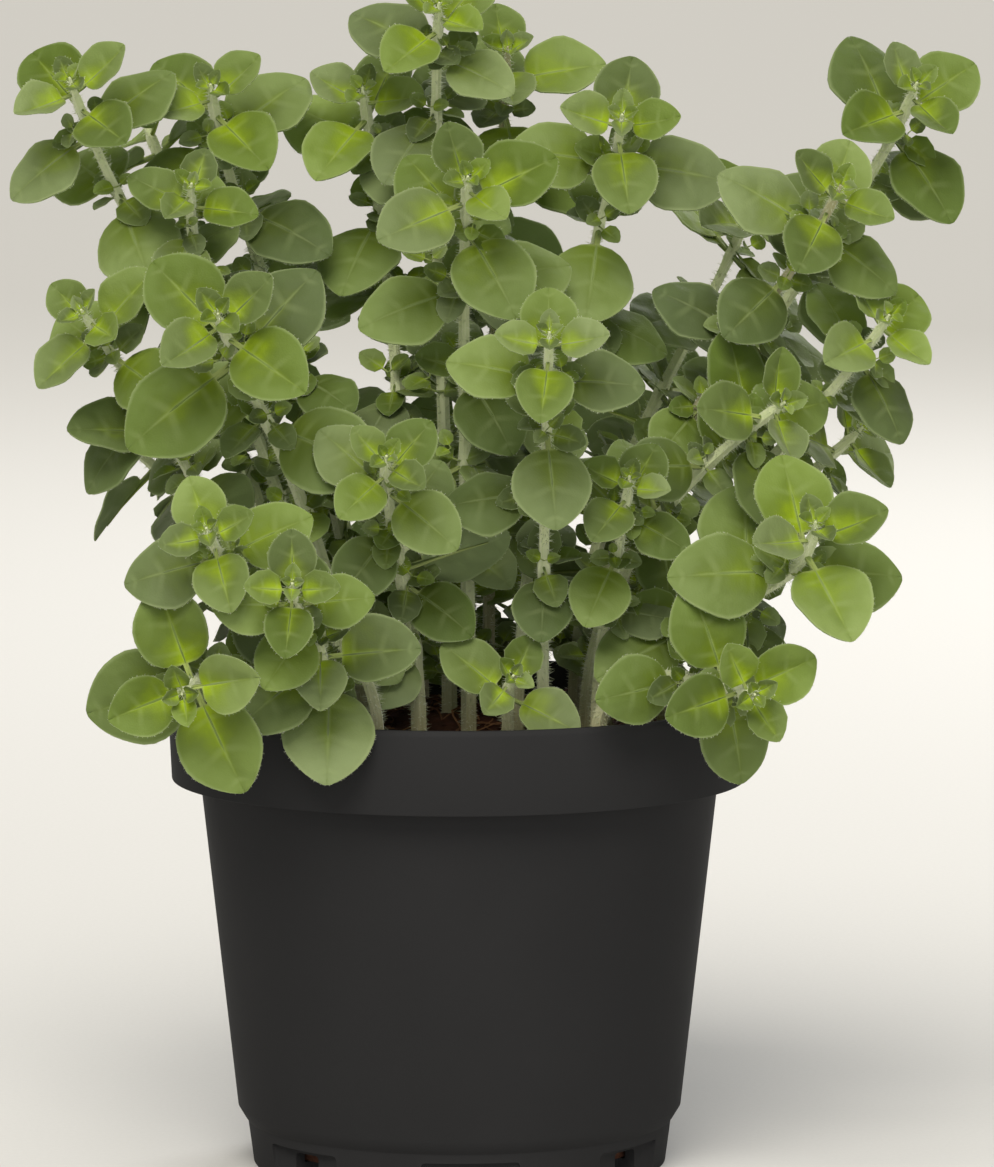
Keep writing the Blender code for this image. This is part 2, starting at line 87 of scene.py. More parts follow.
# Soil
SOIL_TOP = 89.0
SOIL_RELIEF = 1.3
MOUND_Y = 10.0  # where the mix stands highest
MOUND_RISE = 4.5  # how far it rises there
MOUND_RADIUS = 44.0
SOIL_HUMPS = ((9.0, 11.0, 1.3), (14.0, 6.0, 0.4))
SOIL_SIDES = 96
SOIL_RINGS = 25
CLOD_SIZE = 5.0
CLOD_HEIGHT = 0.9
GRAIN_SIZE = 1.7
GRAIN_HEIGHT = 0.35
SOIL_TONE = 0.4
CRUMBS = 1300
CRUMB_SIZE = (0.25, 1.3)
CRUMB_SIZE_DRAW = (1.2, 4)  # most crumbs are small
CRUMB_STRETCH = ((1, 0.6, 0.4), (1.9, 1.1, 0.9))  # least and most along X, Y and Z
CRUMB_KNOCK = 0.22
CRUMB_SEED = 4
CRUMB_LIFT = 0.15
CRUMB_TONES = (1.3, 2.2)
CRUMB_MARGIN = 2.0  # between the pot and the places where crumbs may lie
FIBRES = 320
FIBRE_LENGTH = (4.0, 15.0)
FIBRE_WIDTH = (0.10, 0.32)
FIBRE_STEPS = 6
FIBRE_BOW = 0.12  # how much it bows aside, as a share of its length
FIBRE_WAVES = (0.8, 2.2)
FIBRE_RISE = (0.1, 1.4)  # how far its middle stands above its ends
FIBRE_LIFT = 0.2
FIBRE_TONES = (0.4, 1.3)
FIBRE_MARGIN = 8.0
FIBRE_CLEAR = 0.5  # between its ends and the pot
FALLEN_LEAVES = 16
FALLEN_LENGTH = (5, 10)
FALLEN_TILT = (-0.1, 0.25)
FALLEN_LIFT = 0.8
FALLEN_DROOP_DEG = 60
FALLEN_FOLD = 0.5
FALLEN_TONES = (0.6, 1.2)
FALLEN_MARGIN = 14.0
SOIL_SMOOTH_DEG = 45.0

# Stems
STEM_FOOT_SIDE = 2.7
STEM_TIP_SIDE = 1.5
LONGEST_BARE = 26.0
RING_BELOW_NODE = 1.6
STEM_DEPTH = 9.0
STEM_STRAIGHT = 3.0
FOOT_PULL = 0.42
TIP_PULL = 0.34
FIRST_RING_PAIR = 2
STEM_SIDES = 8
STEM_RINGS = 60
CORNER_REACH = 1.26
NODE_SWELL = 0.30
NODE_REACH = 2.2
WOODY_HEIGHT = 18.0
WOODY_STEMS = ("stem_right_upper", "stem_mid_back")
LEAST_GREEN = 0.25  # how green a stem is at the soil; the rest is brown, woody bark and painted shade
WOODY_GREEN = 0.3  # the share of its green that a woody stem keeps
STALK_TONE = 0.5
STALK_SMOOTH_DEG = 60.0

# Leaves, counted in pairs from the tip
PAIR_DROP = (1.5, 4.5, 8.5, 15.5, 31.0, 50.0, 70.0)
PAIR_LENGTH = (6.5, 14.0, 20.0, 24.0, 24.5, 23.0, 20.0)
PAIR_LEAN_DEG = (28, 54, 66, 76, 85, 90, 95)
PAIR_DROOP_DEG = (-12, -10, 14, 24, 28, 30, 30)
PAIR_FOLD = (0.5, 0.4, 0.2, -0.1, -0.2, -0.25, -0.25)
PAIR_YOUNG = (1.0, 1.0, 0.85, 0.45, 0.18, 0.06, 0.0)
FIRST_PAIR = 1
PETIOLE = 0.2
WIDTH_RATIO = 0.92
LEAF_THICKNESS = 0.7
LIGHT_SHARE = 0.6
LIGHT_LEAN = 0.8
SIZE_DRAW = (0.9, 1.08)
TURN_DRAW_DEG = 9.0
LEAN_DRAW_DEG = 8.0
BEND_START = PETIOLE + 0.12 * (1 - PETIOLE)
LIFTS_DEG = (0, 12, -12, 25, -25, 40, -40)
SWINGS_DEG = (0, 14, -14, 28, -28, 42, -42)
SHRINKS = (1.0, 0.85, 0.7)
SHRINK_COST = 110.0
SWAYS = (0.0, 0.12, -0.12, 0.24, -0.24, 0.36, -0.36)
SAME_PLACE = 0.05

Stem = namedtuple("Stem", "name foot tip aim size turn pairs")

# Where each stem leaves the soil, its tip, the way its tip points, its leaves' size, the turn of its
# top pair in degrees, and its pairs of leaves: the plan that the solids were grown from
STEMS = (
    Stem("stem_left_rosette", (-22, -30), (-47, -62, 180), (-0.10, -0.85, 0.50), 1.10, 125, 7),
    Stem("stem_cross", (17, -32), (18, -70, 177), (0.02, -0.62, 0.78), 0.85, 90, 7),
    Stem("stem_right_big", (38, -22), (70, -72, 140), (0.05, -0.50, 0.85), 1.08, 115, 6),
    Stem("stem_centre", (2, -20), (2, -45, 206), (0.05, -0.75, 0.65), 0.95, 30, 7),
    Stem("stem_left_centre", (-8, -30), (-14, -62, 152), (0.05, -0.75, 0.65), 0.75, 50, 7),
    Stem("stem_right_low", (28, -38), (58, -80, 107), (0.25, -0.95, 0.10), 0.85, 45, 5),
    Stem("stem_left_lower", (-32, -34), (-49, -74, 139), (-0.15, -0.75, 0.60), 0.80, 97, 5),
    Stem("stem_left_front", (-16, -40), (-32, -82, 129), (0.10, -0.80, 0.55), 0.70, 90, 5),
    Stem("stem_left_rim", (-38, -28), (-54, -72, 106), (-0.10, -0.95, -0.10), 1.12, 95, 4),
    Stem("stem_front_low", (-22, -40), (-27, -64, 117), (0.10, -0.65, 0.75), 1.05, 5, 4),
    Stem("stem_arch", (26, -14), (65, -44, 161), (0.50, -0.70, 0.45), 0.85, 35, 6),
    Stem("stem_right_inner", (28, -28), (34, -52, 147), (0.05, -0.60, 0.80), 0.70, 70, 6),
    Stem("stem_tall_left", (-34, -8), (-79, -8, 224), (-0.20, -0.60, 0.80), 0.95, 112, 7),
    Stem("stem_left_edge", (-40, -14), (-76, -24, 178), (-0.35, -0.65, 0.65), 0.90, 20, 6),
    Stem("stem_left_top", (-20, -6), (-51, 8, 222), (-0.05, -0.65, 0.75), 0.95, 128, 7),
    Stem("stem_left_small", (-28, -18), (-54, -16, 203), (0.10, -0.65, 0.75), 0.75, -20, 5),
    Stem("stem_centre_tall", (-2, -4), (-4, -2, 239), (0.05, -0.60, 0.80), 0.85, 60, 7),
    Stem("stem_right_of_centre", (12, -14), (33, -18, 217), (0.05, -0.80, 0.60), 0.95, 90, 7),
    Stem("stem_right_upper", (30, -2), (76, -42, 204), (0.25, -0.65, 0.65), 0.90, 76, 7),
    Stem("stem_far_right", (36, 6), (93, -8, 223), (0.20, -0.65, 0.70), 0.95, 45, 7),
    Stem("stem_right_mid", (42, -10), (86, -38, 178), (0.35, -0.60, 0.70), 0.85, 57, 6),
    Stem("stem_sprout", (10, -44), (11, -50, 107), (0.30, -0.80, 0.40), 0.80, -25, 3),
    Stem("stem_grey_left", (-10, 8), (-20, 18, 221), (-0.10, -0.60, 0.80), 0.95, 60, 7),
    Stem("stem_mid_back", (6, 12), (10, 26, 229), (0.05, -0.55, 0.80), 1.00, 10, 7),
    Stem("stem_back_right", (24, 14), (62, 30, 199), (0.30, -0.30, 0.90), 0.95, 60, 6),
    Stem("stem_back_left", (-30, 8), (-66, 32, 214), (-0.35, 0.10, 0.90), 0.95, 30, 6),
    Stem("stem_rear_left", (-20, 26), (-42, 66, 178), (-0.25, 0.50, 0.80), 1.05, 45, 6),
    Stem("stem_rear_centre", (2, 30), (2, 66, 194), (0.05, 0.50, 0.85), 1.00, 20, 7),
    Stem("stem_rear_right", (28, 30), (48, 66, 158), (0.30, 0.60, 0.70), 1.05, 70, 6),
    Stem("stem_rear_low", (-8, 42), (-14, 78, 124), (-0.10, 0.85, 0.45), 1.00, 75, 4),
    Stem("stem_side_left", (-42, 12), (-70, 34, 146), (-0.70, 0.10, 0.60), 0.95, 15, 5),
    Stem("stem_side_right", (44, 14), (84, 24, 150), (0.55, -0.50, 0.60), 1.00, 55, 5),
)

Leaf = namedtuple("Leaf", "root along face length width droop fold young")

# The leaf that all are copied from: its size, the columns from its midrib to its margin as shares of
# its half width, and the relief of its veins
MASTER_LENGTH = 20.0
MASTER_WIDTH = MASTER_LENGTH * (1 - PETIOLE) * WIDTH_RATIO
COLUMN_SHARES = (0.0, 0.13, 0.55, 1.0)
SMALL_COLUMN_SHARES = (0.0, 0.45, 1.0)
LARGE_ROWS = (2, 16)  # rows of cells in the petiole and in the blade
SMALL_ROWS = (1, 6)
ROWS_PER_VEIN = 4
VEIN_PAIRS = 4.5  # side veins drawn along a leaf
FATTEST = 0.80
ROUNDNESS = (0.46, 0.63)
VEIN_FORWARD = 0.16
MARGIN_CURVE = 1.3
BLADE_THICK = 0.32
LEAST_HALF = 0.8  # half the blade's least width, in radii of the petiole
MERGE = 0.02
LEAF_SMOOTH_DEG = 50.0
MIDRIB_SINK = 0.50
RIB_START = 0.15  # how far along its dip the midrib is where the blade starts
VEIN_SINK = 0.10
PILLOW_RISE = 0.22
NEAR_RIB = 0.5  # how much of the relief there is beside the midrib
RIB_SIDES = 6
PETIOLE_RADIUS = 0.62
RIB_STEPS = ((0.0, 0.62), (0.14, 0.52), (0.3, 0.42), (0.55, 0.30), (0.8, 0.14))
RUFFLE = 0.5
RUFFLE_TURNS = 2.2
RUFFLE_STARTS = (1.0, 4.0)  # of the waves on the two sides
CUP_CHANGE = 0.12
CUP_STEP = 5
OPEN_FOLD = 0.1  # leaves with less fold than this cup as open ones
OPEN_CUP = 1.6
FOLDED_CUP = 1.1
YOUNG_DRAW = (0.8, 1.1)

# Small growth that is too fine for a solid
SMALL_LEAF = 12.0
BUD_LENGTH = 4.2
BUD_DROP = 0.8
BUD_LEAN_DEG = 12.0
BUD_DROOP_DEG = -15
BUD_FOLD = 0.6
TIP_TAPER = 4.0  # the length over which a stem's tip draws in
TIP_SHARE = 0.25
SHOOT_LEAN_DEG = 36.0
SHOOT_LEAVES = ((0.8, 9.0, 60, 0.4), (3.8, 5.4, 32, 0.8))
SHOOT_DRAW = (0.6, 1.25)
SHOOT_TURN_SPREAD = 0.15
SHOOT_LEAN_SPREAD_DEG = 6
SHOOT_DROOP_DEG = 12
SHOOT_FOLD = 0.2
AXIL_PAIR = 3  # the first pair with shoots in its axils
AXIL_OUT = 0.8
OLD_PAIR = 5  # from this pair on the shoots have grown more
OLD_GROWTH = 1.2
LOW_SPACING = 15.0
LOW_SPACING_DRAW = (0.7, 1.3)
LOW_START = 12.0
SOIL_VIEW_Y = -12.0  # in front of this low shoots would hide the soil
SOIL_VIEW_Z = 122.0  # above this they don't
LOW_GROWTH = 1.4
POT_CLEAR = 52.0

# Single leaves that stand apart: their stem, how far below its tip, the way along the leaf, the way its
# face looks, its length, and how young it is
LONE_LEAVES = (
    ("stem_left_edge", 34.0, (-0.96, -0.38, 0.14), (0.10, -0.62, 0.78), 21.0, 0.8),
    ("stem_left_centre", 34.0, (0.93, 0.10, 0.33), (-0.15, 0.90, 0.40), 23.0, 0.1),
)
LONE_DROOP_DEG = 15.0
LONE_FOLD = 0.1

# Hairs, drawn a few times as thick as real ones so that they show
STEM_HAIRS_PER_MM = 16.0
STEM_HAIR = (0.5, 1.5)
STEM_HAIR_WIDTH = 0.17
LEAF_HAIRS_PER_MM = 4.0
SMALL_LEAF_HAIRS_PER_MM = 1.5
LEAF_HAIR = (0.15, 0.42)
LEAF_HAIR_WIDTH = 0.09
HAIRY_SHARES = (0.02, 0.99)
HAIR_SPREAD = 0.3
STEEP = 0.7  # a hair that rises by more than this share of its length is upright

# Camera and studio
CAMERA_PLACE = (0.00776, -1.4815, 0.2847)
CAMERA_TILT_DEG = 83.65
CAMERA_LENS = 223.7
FLOOR_SIZE = 40.0
LIGHT_TARGET = (0, 0, 0.13)
LIGHT_SIZE = 0.8
LIGHTS = (("front_light", (0.15, -1.6, 0.35), 5), ("rim_light", (0.6, 1.3, 1.1), 12))  # name, place, power
SUN_FROM = (-0.15, -0.95, 1.1)
SUN_POWER = 3.1
SUN_WIDTH_DEG = 40.0
SUN_COLOUR = "#fffaf0"
SKY_COLOUR = "#f2f2f0"
SKY_POWER = 0.30

draws = np.random.default_rng(LOOKS_SEED)


# Helpers for modelling by hand


def deselect():
    bpy.ops.object.select_all(action="DESELECT")


def active(obj):
    """Makes an object the only selected one."""
    deselect()
    obj.select_set(True)
    bpy.context.view_layer.objects.active = obj


def new_shape(kind, **settings):
    """A new primitive shape, its place and turn worked into its points."""
    deselect()
    getattr(bpy.ops.mesh, f"primitive_{kind}_add")(**settings)
    bpy.ops.object.transform_apply()
    return bpy.context.object


def new_object(name, data):
    """A new object in the scene."""
    made = bpy.data.objects.new(name, data)
    bpy.context.scene.collection.objects.link(made)
    return made


def edit_selected(mesh, wanted, mode="VERT"):
    """Leaves the active mesh in edit mode with only the points, or the edges, that a test wants."""
    bpy.ops.object.mode_set(mode="OBJECT")
    bpy.context.tool_settings.mesh_select_mode = (mode == "VERT", mode == "EDGE", False)
    for item in (*mesh.vertices, *mesh.edges, *mesh.polygons):
        item.select = False
    for item in mesh.vertices if mode == "VERT" else mesh.edges:
        item.select = wanted(item)
    bpy.ops.object.mode_set(mode="EDIT")


def apply_modifiers(obj):
    active(obj)
    for modifier in list(obj.modifiers):
        bpy.ops.object.modifier_apply(modifier=modifier.name)


def extrude_rings(rings):
    """Carries the selected ring or face on through a list of (radius, height) in millimetres."""
    for (radius, height), (next_radius, next_height) in itertools.pairwise(rings):
        rise = (0, 0, (next_height - height) * MM)
        bpy.ops.mesh.extrude_region_move(TRANSFORM_OT_translate={"value": rise})
        scale = next_radius / radius
        bpy.ops.transform.resize(value=(scale, scale, 1), center_override=(0, 0, next_height * MM))


def finish_piece(obj, name, finishes, node, smooth_deg):
    """Names a piece, gives it its materials, hangs it on the root body and hides the imported node that it
    stands for.
    """
    active(obj)
    bpy.ops.object.shade_smooth_by_angle(angle=math.radians(smooth_deg))
    obj.name = name
    obj.data.name = name
    for finish in finishes:
        obj.data.materials.append(finish)
    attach(obj, "root")
    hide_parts(node)


def take_out(obj):
    """Takes a modelled shape out of the scene, and keeps it to copy from."""
    bpy.context.scene.collection.objects.unlink(obj)
    return obj


# Materials


def colour(code):
    """A hex colour as linear RGBA."""
    shares = [int(code[place : place + 2], 16) / 255 for place in (1, 3, 5)]
    return (*[c / 12.92 if c <= 0.04045 else ((c + 0.055) / 1.055) ** 2.4 for c in shares], 1)


def new_material(name):
    made = bpy.data.materials.new(name)
    made.use_nodes = True
    return made, made.node_tree.nodes["Principled BSDF"]


def join(material, node, inputs):
    """Sets a node's inputs to numbers or colours, or links them from other nodes."""
    for socket, value in inputs.items():
        if isinstance(value, bpy.types.NodeSocket):
            material.node_tree.links.new(value, node.inputs[socket])
        else:
            node.inputs[socket].default_value = value


def add_node(material, kind, inputs=None, **settings):
    """The first output of a new node with these settings and inputs."""
    node = material.node_tree.nodes.new("ShaderNode" + kind)
    for name, value in settings.items():
        setattr(node, name, value)
    join(material, node, inputs or {})
    return node.outputs[0]


def own_place(material):
    """The place in the object, in metres."""
    return add_node(material, "TexCoord").node.outputs["Object"]


def own_surface(material):
    """The place on the copied shape, across and along it."""
    return add_node(material, "UVMap", uv_map="own_surface")


def kept_number(material, name):
    """A number that gather kept on the points."""
    return add_node(material, "Attribute", attribute_name=name).node.outputs["Fac"]


def reckon(material, operation, *values):
    return add_node(material, "Math", dict(enumerate(values)), operation=operation)


def mixed(material, share, *ends):
    """A mix of two colours, each a hex code or a link."""
    first, second = [colour(end) if isinstance(end, str) else end for end in ends]
    return add_node(material, "MixRGB", {0: share, 1: first, 2: second})


def graded(material, value, start, stop, first, last, course="SMOOTHSTEP"):
    """A number that goes from first to last while a value goes from start to stop."""
    limits = {0: value, 1: start, 2: stop, 3: first, 4: last}
    return add_node(material, "MapRange", limits, interpolation_type=course)


def cloudy(material, place, scale, detail):
    return add_node(material, "TexNoise", {"Vector": place, "Scale": scale, "Detail": detail})


def raised(material, height, strength, distance, invert=False, **base):
    """The normal of a raised surface, its distance in metres, over another Normal where one is given."""
    inputs = {"Strength": strength, "Distance": distance, "Height": height, **base}
    return add_node(material, "Bump", inputs, invert=invert)


def lit_through(material, skin, share, tint):
    """Lets a share of the light shine through a thin surface."""
    glow = add_node(material, "BsdfTranslucent", {"Color": tint})
    both = add_node(material, "MixShader", {0: share, 1: skin.outputs[0], 2: glow})
    join(material, material.node_tree.nodes["Material Output"], {"Surface": both})


def leaf_markings(made, across, along):
    """How far a place is from the midrib, 1 at the margin, and how strong the veins and the margin are."""
    edge = reckon(made, "MULTIPLY", reckon(made, "ABSOLUTE", reckon(made, "SUBTRACT", across, 0.5)), 2.0)
    step = reckon(made, "FRACT", reckon(made, "MULTIPLY", along, VEIN_PAIRS))
    off_vein = reckon(made, "ABSOLUTE", reckon(made, "SUBTRACT", step, 0.5))
    midrib = graded(made, edge, 0.0, 0.2, 1.0, 0.0)
    to_tip = graded(made, along, 0.3, 0.85, 1.0, 0.15)
    side = graded(made, off_vein, 0.02, 0.16, 1.0, 0.0)
    reach = graded(made, edge, 0.3, 0.95, 0.3, 0.0)
    fading, faint = reckon(made, "MULTIPLY", midrib, to_tip), reckon(made, "MULTIPLY", side, reach)
    veins = reckon(made, "MAXIMUM", fading, faint)
    margin = graded(made, edge, 0.93, 1.0, 0.0, 0.34)
    return edge, veins, margin


def blade_colour(made, along, edge):
    """Olive or yellow-green at the leaf's base, grey-green with down further out, lightened there as a
    painted sheen.
    Each leaf lies between a dark and a light one, and between a grey and a rich one."""
    young, tone = kept_number(made, "young"), kept_number(made, "tone")
    outward = reckon(made, "MULTIPLY_ADD", along, 0.85, reckon(made, "MULTIPLY", edge, 0.42))
    uneven = reckon(made, "MULTIPLY_ADD", cloudy(made, own_place(made), 160.0, 3.0), 0.5, outward)
    # painted sheen: the blade turns a lighter grey-green towards its tip and margin, standing in for light
    # glancing off its down
    painted_sheen_share = graded(made, uneven, 0.6, 1.25, 0.0, 1.0)
    inner = graded(made, uneven, 0.42, 0.96, 1.0, 0.07)
    olive = mixed(made, tone, "#465520", "#6c7e37")
    down_and_sheen = mixed(made, tone, "#586a36", "#92a466")
    other = reckon(made, "FRACT", reckon(made, "MULTIPLY", tone, 7.0))
    rich = graded(made, other, 0.0, 1.0, 0.78, 1.18, course="LINEAR")
    grown = mixed(made, painted_sheen_share, olive, down_and_sheen)
    varied = add_node(made, "HueSaturation", {"Saturation": rich, "Color": grown})
    return mixed(made, reckon(made, "MULTIPLY", inner, young), varied, "#b0cc12")


def leaf_relief(made, veins):
    """Down whose hairs stand 0.4 mm apart, uneven swellings, and the veins pressed in."""
    spot = own_place(made)
    down = raised(made, cloudy(made, spot, 2500.0, 2.0), 0.4, 0.0002)
    puckered = raised(made, cloudy(made, spot, 220.0, 1.0), 0.6, 0.0012, Normal=down)
    return raised(made, veins, 0.35, 0.0003, invert=True, Normal=puckered)


def oregano_leaf_tissue():
    """Living oregano leaf: matte under fine down, grey-green with a pale margin and a painted sheen towards
    its tip, and yellow-green from its base outwards while it is young. Its underside is paler."""
    made, skin = new_material("downy_oregano_leaf")
    place = add_node(made, "SeparateXYZ", {0: own_surface(made)}).node.outputs
    edge, veins, margin = leaf_markings(made, place["X"], place["Y"])
    green = blade_colour(made, place["Y"], edge)
    sided = mixed(made, reckon(made, "MULTIPLY", kept_number(made, "under"), 0.75), green, "#8b9c6c")
    veined = mixed(made, reckon(made, "MULTIPLY", veins, 0.42), sided, "#b7c78a")
    edged = mixed(made, margin, veined, "#b2c08c")
    rooted = mixed(made, graded(made, place["Y"], 0.1, 0.24, 0.8, 0.0), edged, "#b3c077")
    join(made, skin, {"Base Color": rooted, "Normal": leaf_relief(made, veins)})
    join(made, skin, {"Roughness": 0.6, "IOR": 1.4, "Specular IOR Level": 0.35})
    join(made, skin, {"Sheen Weight": 0.4, "Sheen Roughness": 0.4, "Sheen Tint": colour("#e4ebc8")})
    lit_through(made, skin, 0.28, mixed(made, 0.5, rooted, "#a9c72e"))
    return made


def oregano_stem_skin():
    """Living oregano stem: pale green and faintly ridged, woody and striped with brown where it is old.
    Its brown is woody bark made darker as a painted shade, which falls most at the stem feet by the soil.
    """
    made, skin = new_material("downy_oregano_stem")
    drawn_out = add_node(made, "Mapping", {"Vector": own_surface(made), "Scale": (16.0, 20.0, 1.0)})
    streaks = cloudy(made, drawn_out, 1.0, 3.0)
    fresh = mixed(made, streaks, "#c9d796", "#f4f7d6")
    # painted shade: this brown is darker than the bark, to stand for the shade at the stem feet; it is also
    # the woody stems' bark
    brown = mixed(made, streaks, "#857449", "#cfc79d")
    bark = mixed(made, kept_number(made, "young"), brown, fresh)
    ridges = raised(made, streaks, 0.5, 0.0003)
    join(made, skin, {"Base Color": bark, "Normal": ridges, "Roughness": 0.6})
    join(made, skin, {"Sheen Weight": 0.8, "Sheen Roughness": 0.4, "Sheen Tint": colour("#f3f5e6")})
    lit_through(made, skin, 0.2, bark)
    return made


def plant_hair():
    """Plant hair: clear to white, so each one lights up."""
    made, skin = new_material("white_plant_hair")
    white = mixed(made, kept_number(made, "tone"), "#d5deb4", "#f8faec")
    join(made, skin, {"Base Color": white, "Roughness": 0.45})
    lit_through(made, skin, 0.4, white)
    return made


def moulded_polypropylene():
    """Recycled polypropylene, injection moulded: near black and satin, with the mould's fine grain and
    a faint cloudiness a few centimetres across."""
    made, skin = new_material("moulded_black_polypropylene")
    clouds = cloudy(made, own_place(made), 30.0, 4.0)
    shade = mixed(made, clouds, "#282829", "#2f2f30")
    dull = graded(made, clouds, 0.3, 0.7, 0.62, 0.74, course="LINEAR")
    mould = raised(made, cloudy(made, own_place(made), 1800.0, 2.0), 0.2, 0.0001)
    join(made, skin, {"Base Color": shade, "Roughness": dull, "Normal": mould})
    join(made, skin, {"IOR": 1.49, "Specular IOR Level": 0.05})
    return made


def potting_mix():
    """Peat, bark and coir, damp: dark reddish brown and without gloss."""
    made, skin = new_material("damp_peat_and_bark")
    grains = cloudy(made, own_place(made), 420.0, 5.0)
    share = reckon(made, "MULTIPLY", reckon(made, "ADD", grains, kept_number(made, "tone")), 0.5)
    browns = add_node(made, "ValToRGB", {0: share})
    ramp = browns.node.color_ramp
    ramp.elements[0].position = 0.2
    ramp.elements[0].color = colour("#1f130d")
    ramp.elements[1].position = 0.9
    ramp.elements[1].color = colour("#916a4a")
    ramp.elements.new(0.5).color = colour("#4a2d20")
    rough = raised(made, grains, 0.8, 0.0008)
    join(made, skin, {"Base Color": browns, "Normal": rough, "Roughness": 0.95, "Specular IOR Level": 0.2})
    return made


def studio_paper():
    """Pale seamless paper."""
    made, skin = new_material("pale_studio_paper")
    white = mixed(made, cloudy(made, own_place(made), 900.0, 3.0), "#cfcecb", "#d6d5d2")
    join(made, skin, {"Base Color": white, "Roughness": 0.9})
    return made


# Pot


def pot_rings():
    """The pot's section as (radius, height), from its underside up its outside and down its inside."""
    band_bottom = POT_HEIGHT - BAND_HEIGHT
    foot_inner = FOOT_RADIUS - FOOT_WALL
    return [
        (PAD_RADIUS, 0),
        (PAD_RADIUS + EDGE, UNDERSIDE_RELIEF),
        (foot_inner - FOOT_PAD - EDGE, UNDERSIDE_RELIEF),
        (foot_inner - FOOT_PAD, 0),
        (FOOT_RADIUS, 0),
        (FOOT_TOP_RADIUS, FOOT_HEIGHT - EDGE),
        (FOOT_TOP_RADIUS + EDGE, FOOT_HEIGHT),
        (HEEL_RADIUS, HEEL_HEIGHT),
        (SHOULDER_RADIUS, band_bottom),
        (BAND_BOTTOM_RADIUS, band_bottom + EDGE),
        (RIM_RADIUS, POT_HEIGHT - 2 * EDGE),
        (RIM_RADIUS - EDGE, POT_HEIGHT),
        (RIM_RADIUS - WALL, POT_HEIGHT),
        (BAND_BOTTOM_RADIUS - WALL, band_bottom + WALL),
        (SHOULDER_RADIUS - WALL, band_bottom + EDGE),
        (HEEL_RADIUS - WALL, HEEL_HEIGHT + 2 * EDGE),
        (foot_inner + EDGE, FOOT_HEIGHT + WALL),
        (foot_inner, FLOOR_TOP),
    ]


def model_cutter(reach, turn, depth, width, height):
    """A block with softened edges, where a notch or a drain hole is cut."""
    centre = (math.cos(turn) * reach * MM, math.sin(turn) * reach * MM, (height / 2 - OVERCUT) * MM)
    deselect()
    bpy.ops.mesh.primitive_cube_add(size=MM, location=centre, rotation=(0, 0, turn))
    block = bpy.context.object
    block.scale = (depth, width, height + 2 * OVERCUT)
    bpy.ops.object.transform_apply(location=False, rotation=False, scale=True)
    bpy.ops.object.mode_set(mode="EDIT")
    bpy.ops.mesh.bevel(offset=CUTTER_ROUND * MM, segments=ROUND_STEPS)
    bpy.ops.object.mode_set(mode="OBJECT")
    return block


def model_pot(finish):
    """The moulded pot: turned ring by ring, its edges eased, then notched and drained at its foot."""
    rings = pot_rings()
    pot = new_shape("circle", vertices=POT_SIDES, radius=rings[0][0] * MM)
    bpy.ops.object.mode_set(mode="EDIT")
    extrude_rings(rings)
    bpy.ops.mesh.select_all(action="SELECT")
    bpy.ops.mesh.fill_holes(sides=0)
    bpy.ops.mesh.normals_make_consistent(inside=False)
    bpy.ops.object.mode_set(mode="OBJECT")
    eased = pot.modifiers.new("eased_edges", "BEVEL")
    eased.width = EDGE_ROUND * MM
    eased.segments = ROUND_STEPS
    eased.angle_limit = math.radians(EASE_ABOVE_DEG)
    apply_modifiers(pot)
    recess_reach = FOOT_RADIUS - NOTCH_DEPTH + NOTCH_WIDTH / 2
    drain_reach = FOOT_RADIUS - FOOT_WALL / 2
    for number in range(NOTCHES):
        turn = math.radians(FIRST_NOTCH_DEG) + number * math.tau / NOTCHES
        recess = model_cutter(recess_reach, turn, NOTCH_WIDTH, NOTCH_WIDTH, NOTCH_HEIGHT)
        drain = model_cutter(drain_reach, turn, FOOT_WALL + 4 * OVERCUT, DRAIN_WIDTH, DRAIN_HEIGHT)
        for block in (recess, drain):
            cut = pot.modifiers.new("cut", "BOOLEAN")
            cut.operation = "DIFFERENCE"
            cut.object = block
            apply_modifiers(pot)
            bpy.data.objects.remove(block)
    finish_piece(pot, "nursery_pot", [finish], "pot", POT_SMOOTH_DEG)


# Copies of a modelled shape, gathered in one mesh


def read(items, field, width=1, kind=float):
    """A field of all the points, corners or faces of a mesh."""
    values = np.empty(len(items) * width, dtype=kind)
    items.foreach_get(field, values)
    return values


def points_of(obj):
    """An object's points in millimetres, as rows."""
    return read(obj.data.vertices, "co", 3).reshape(-1, 3) / MM


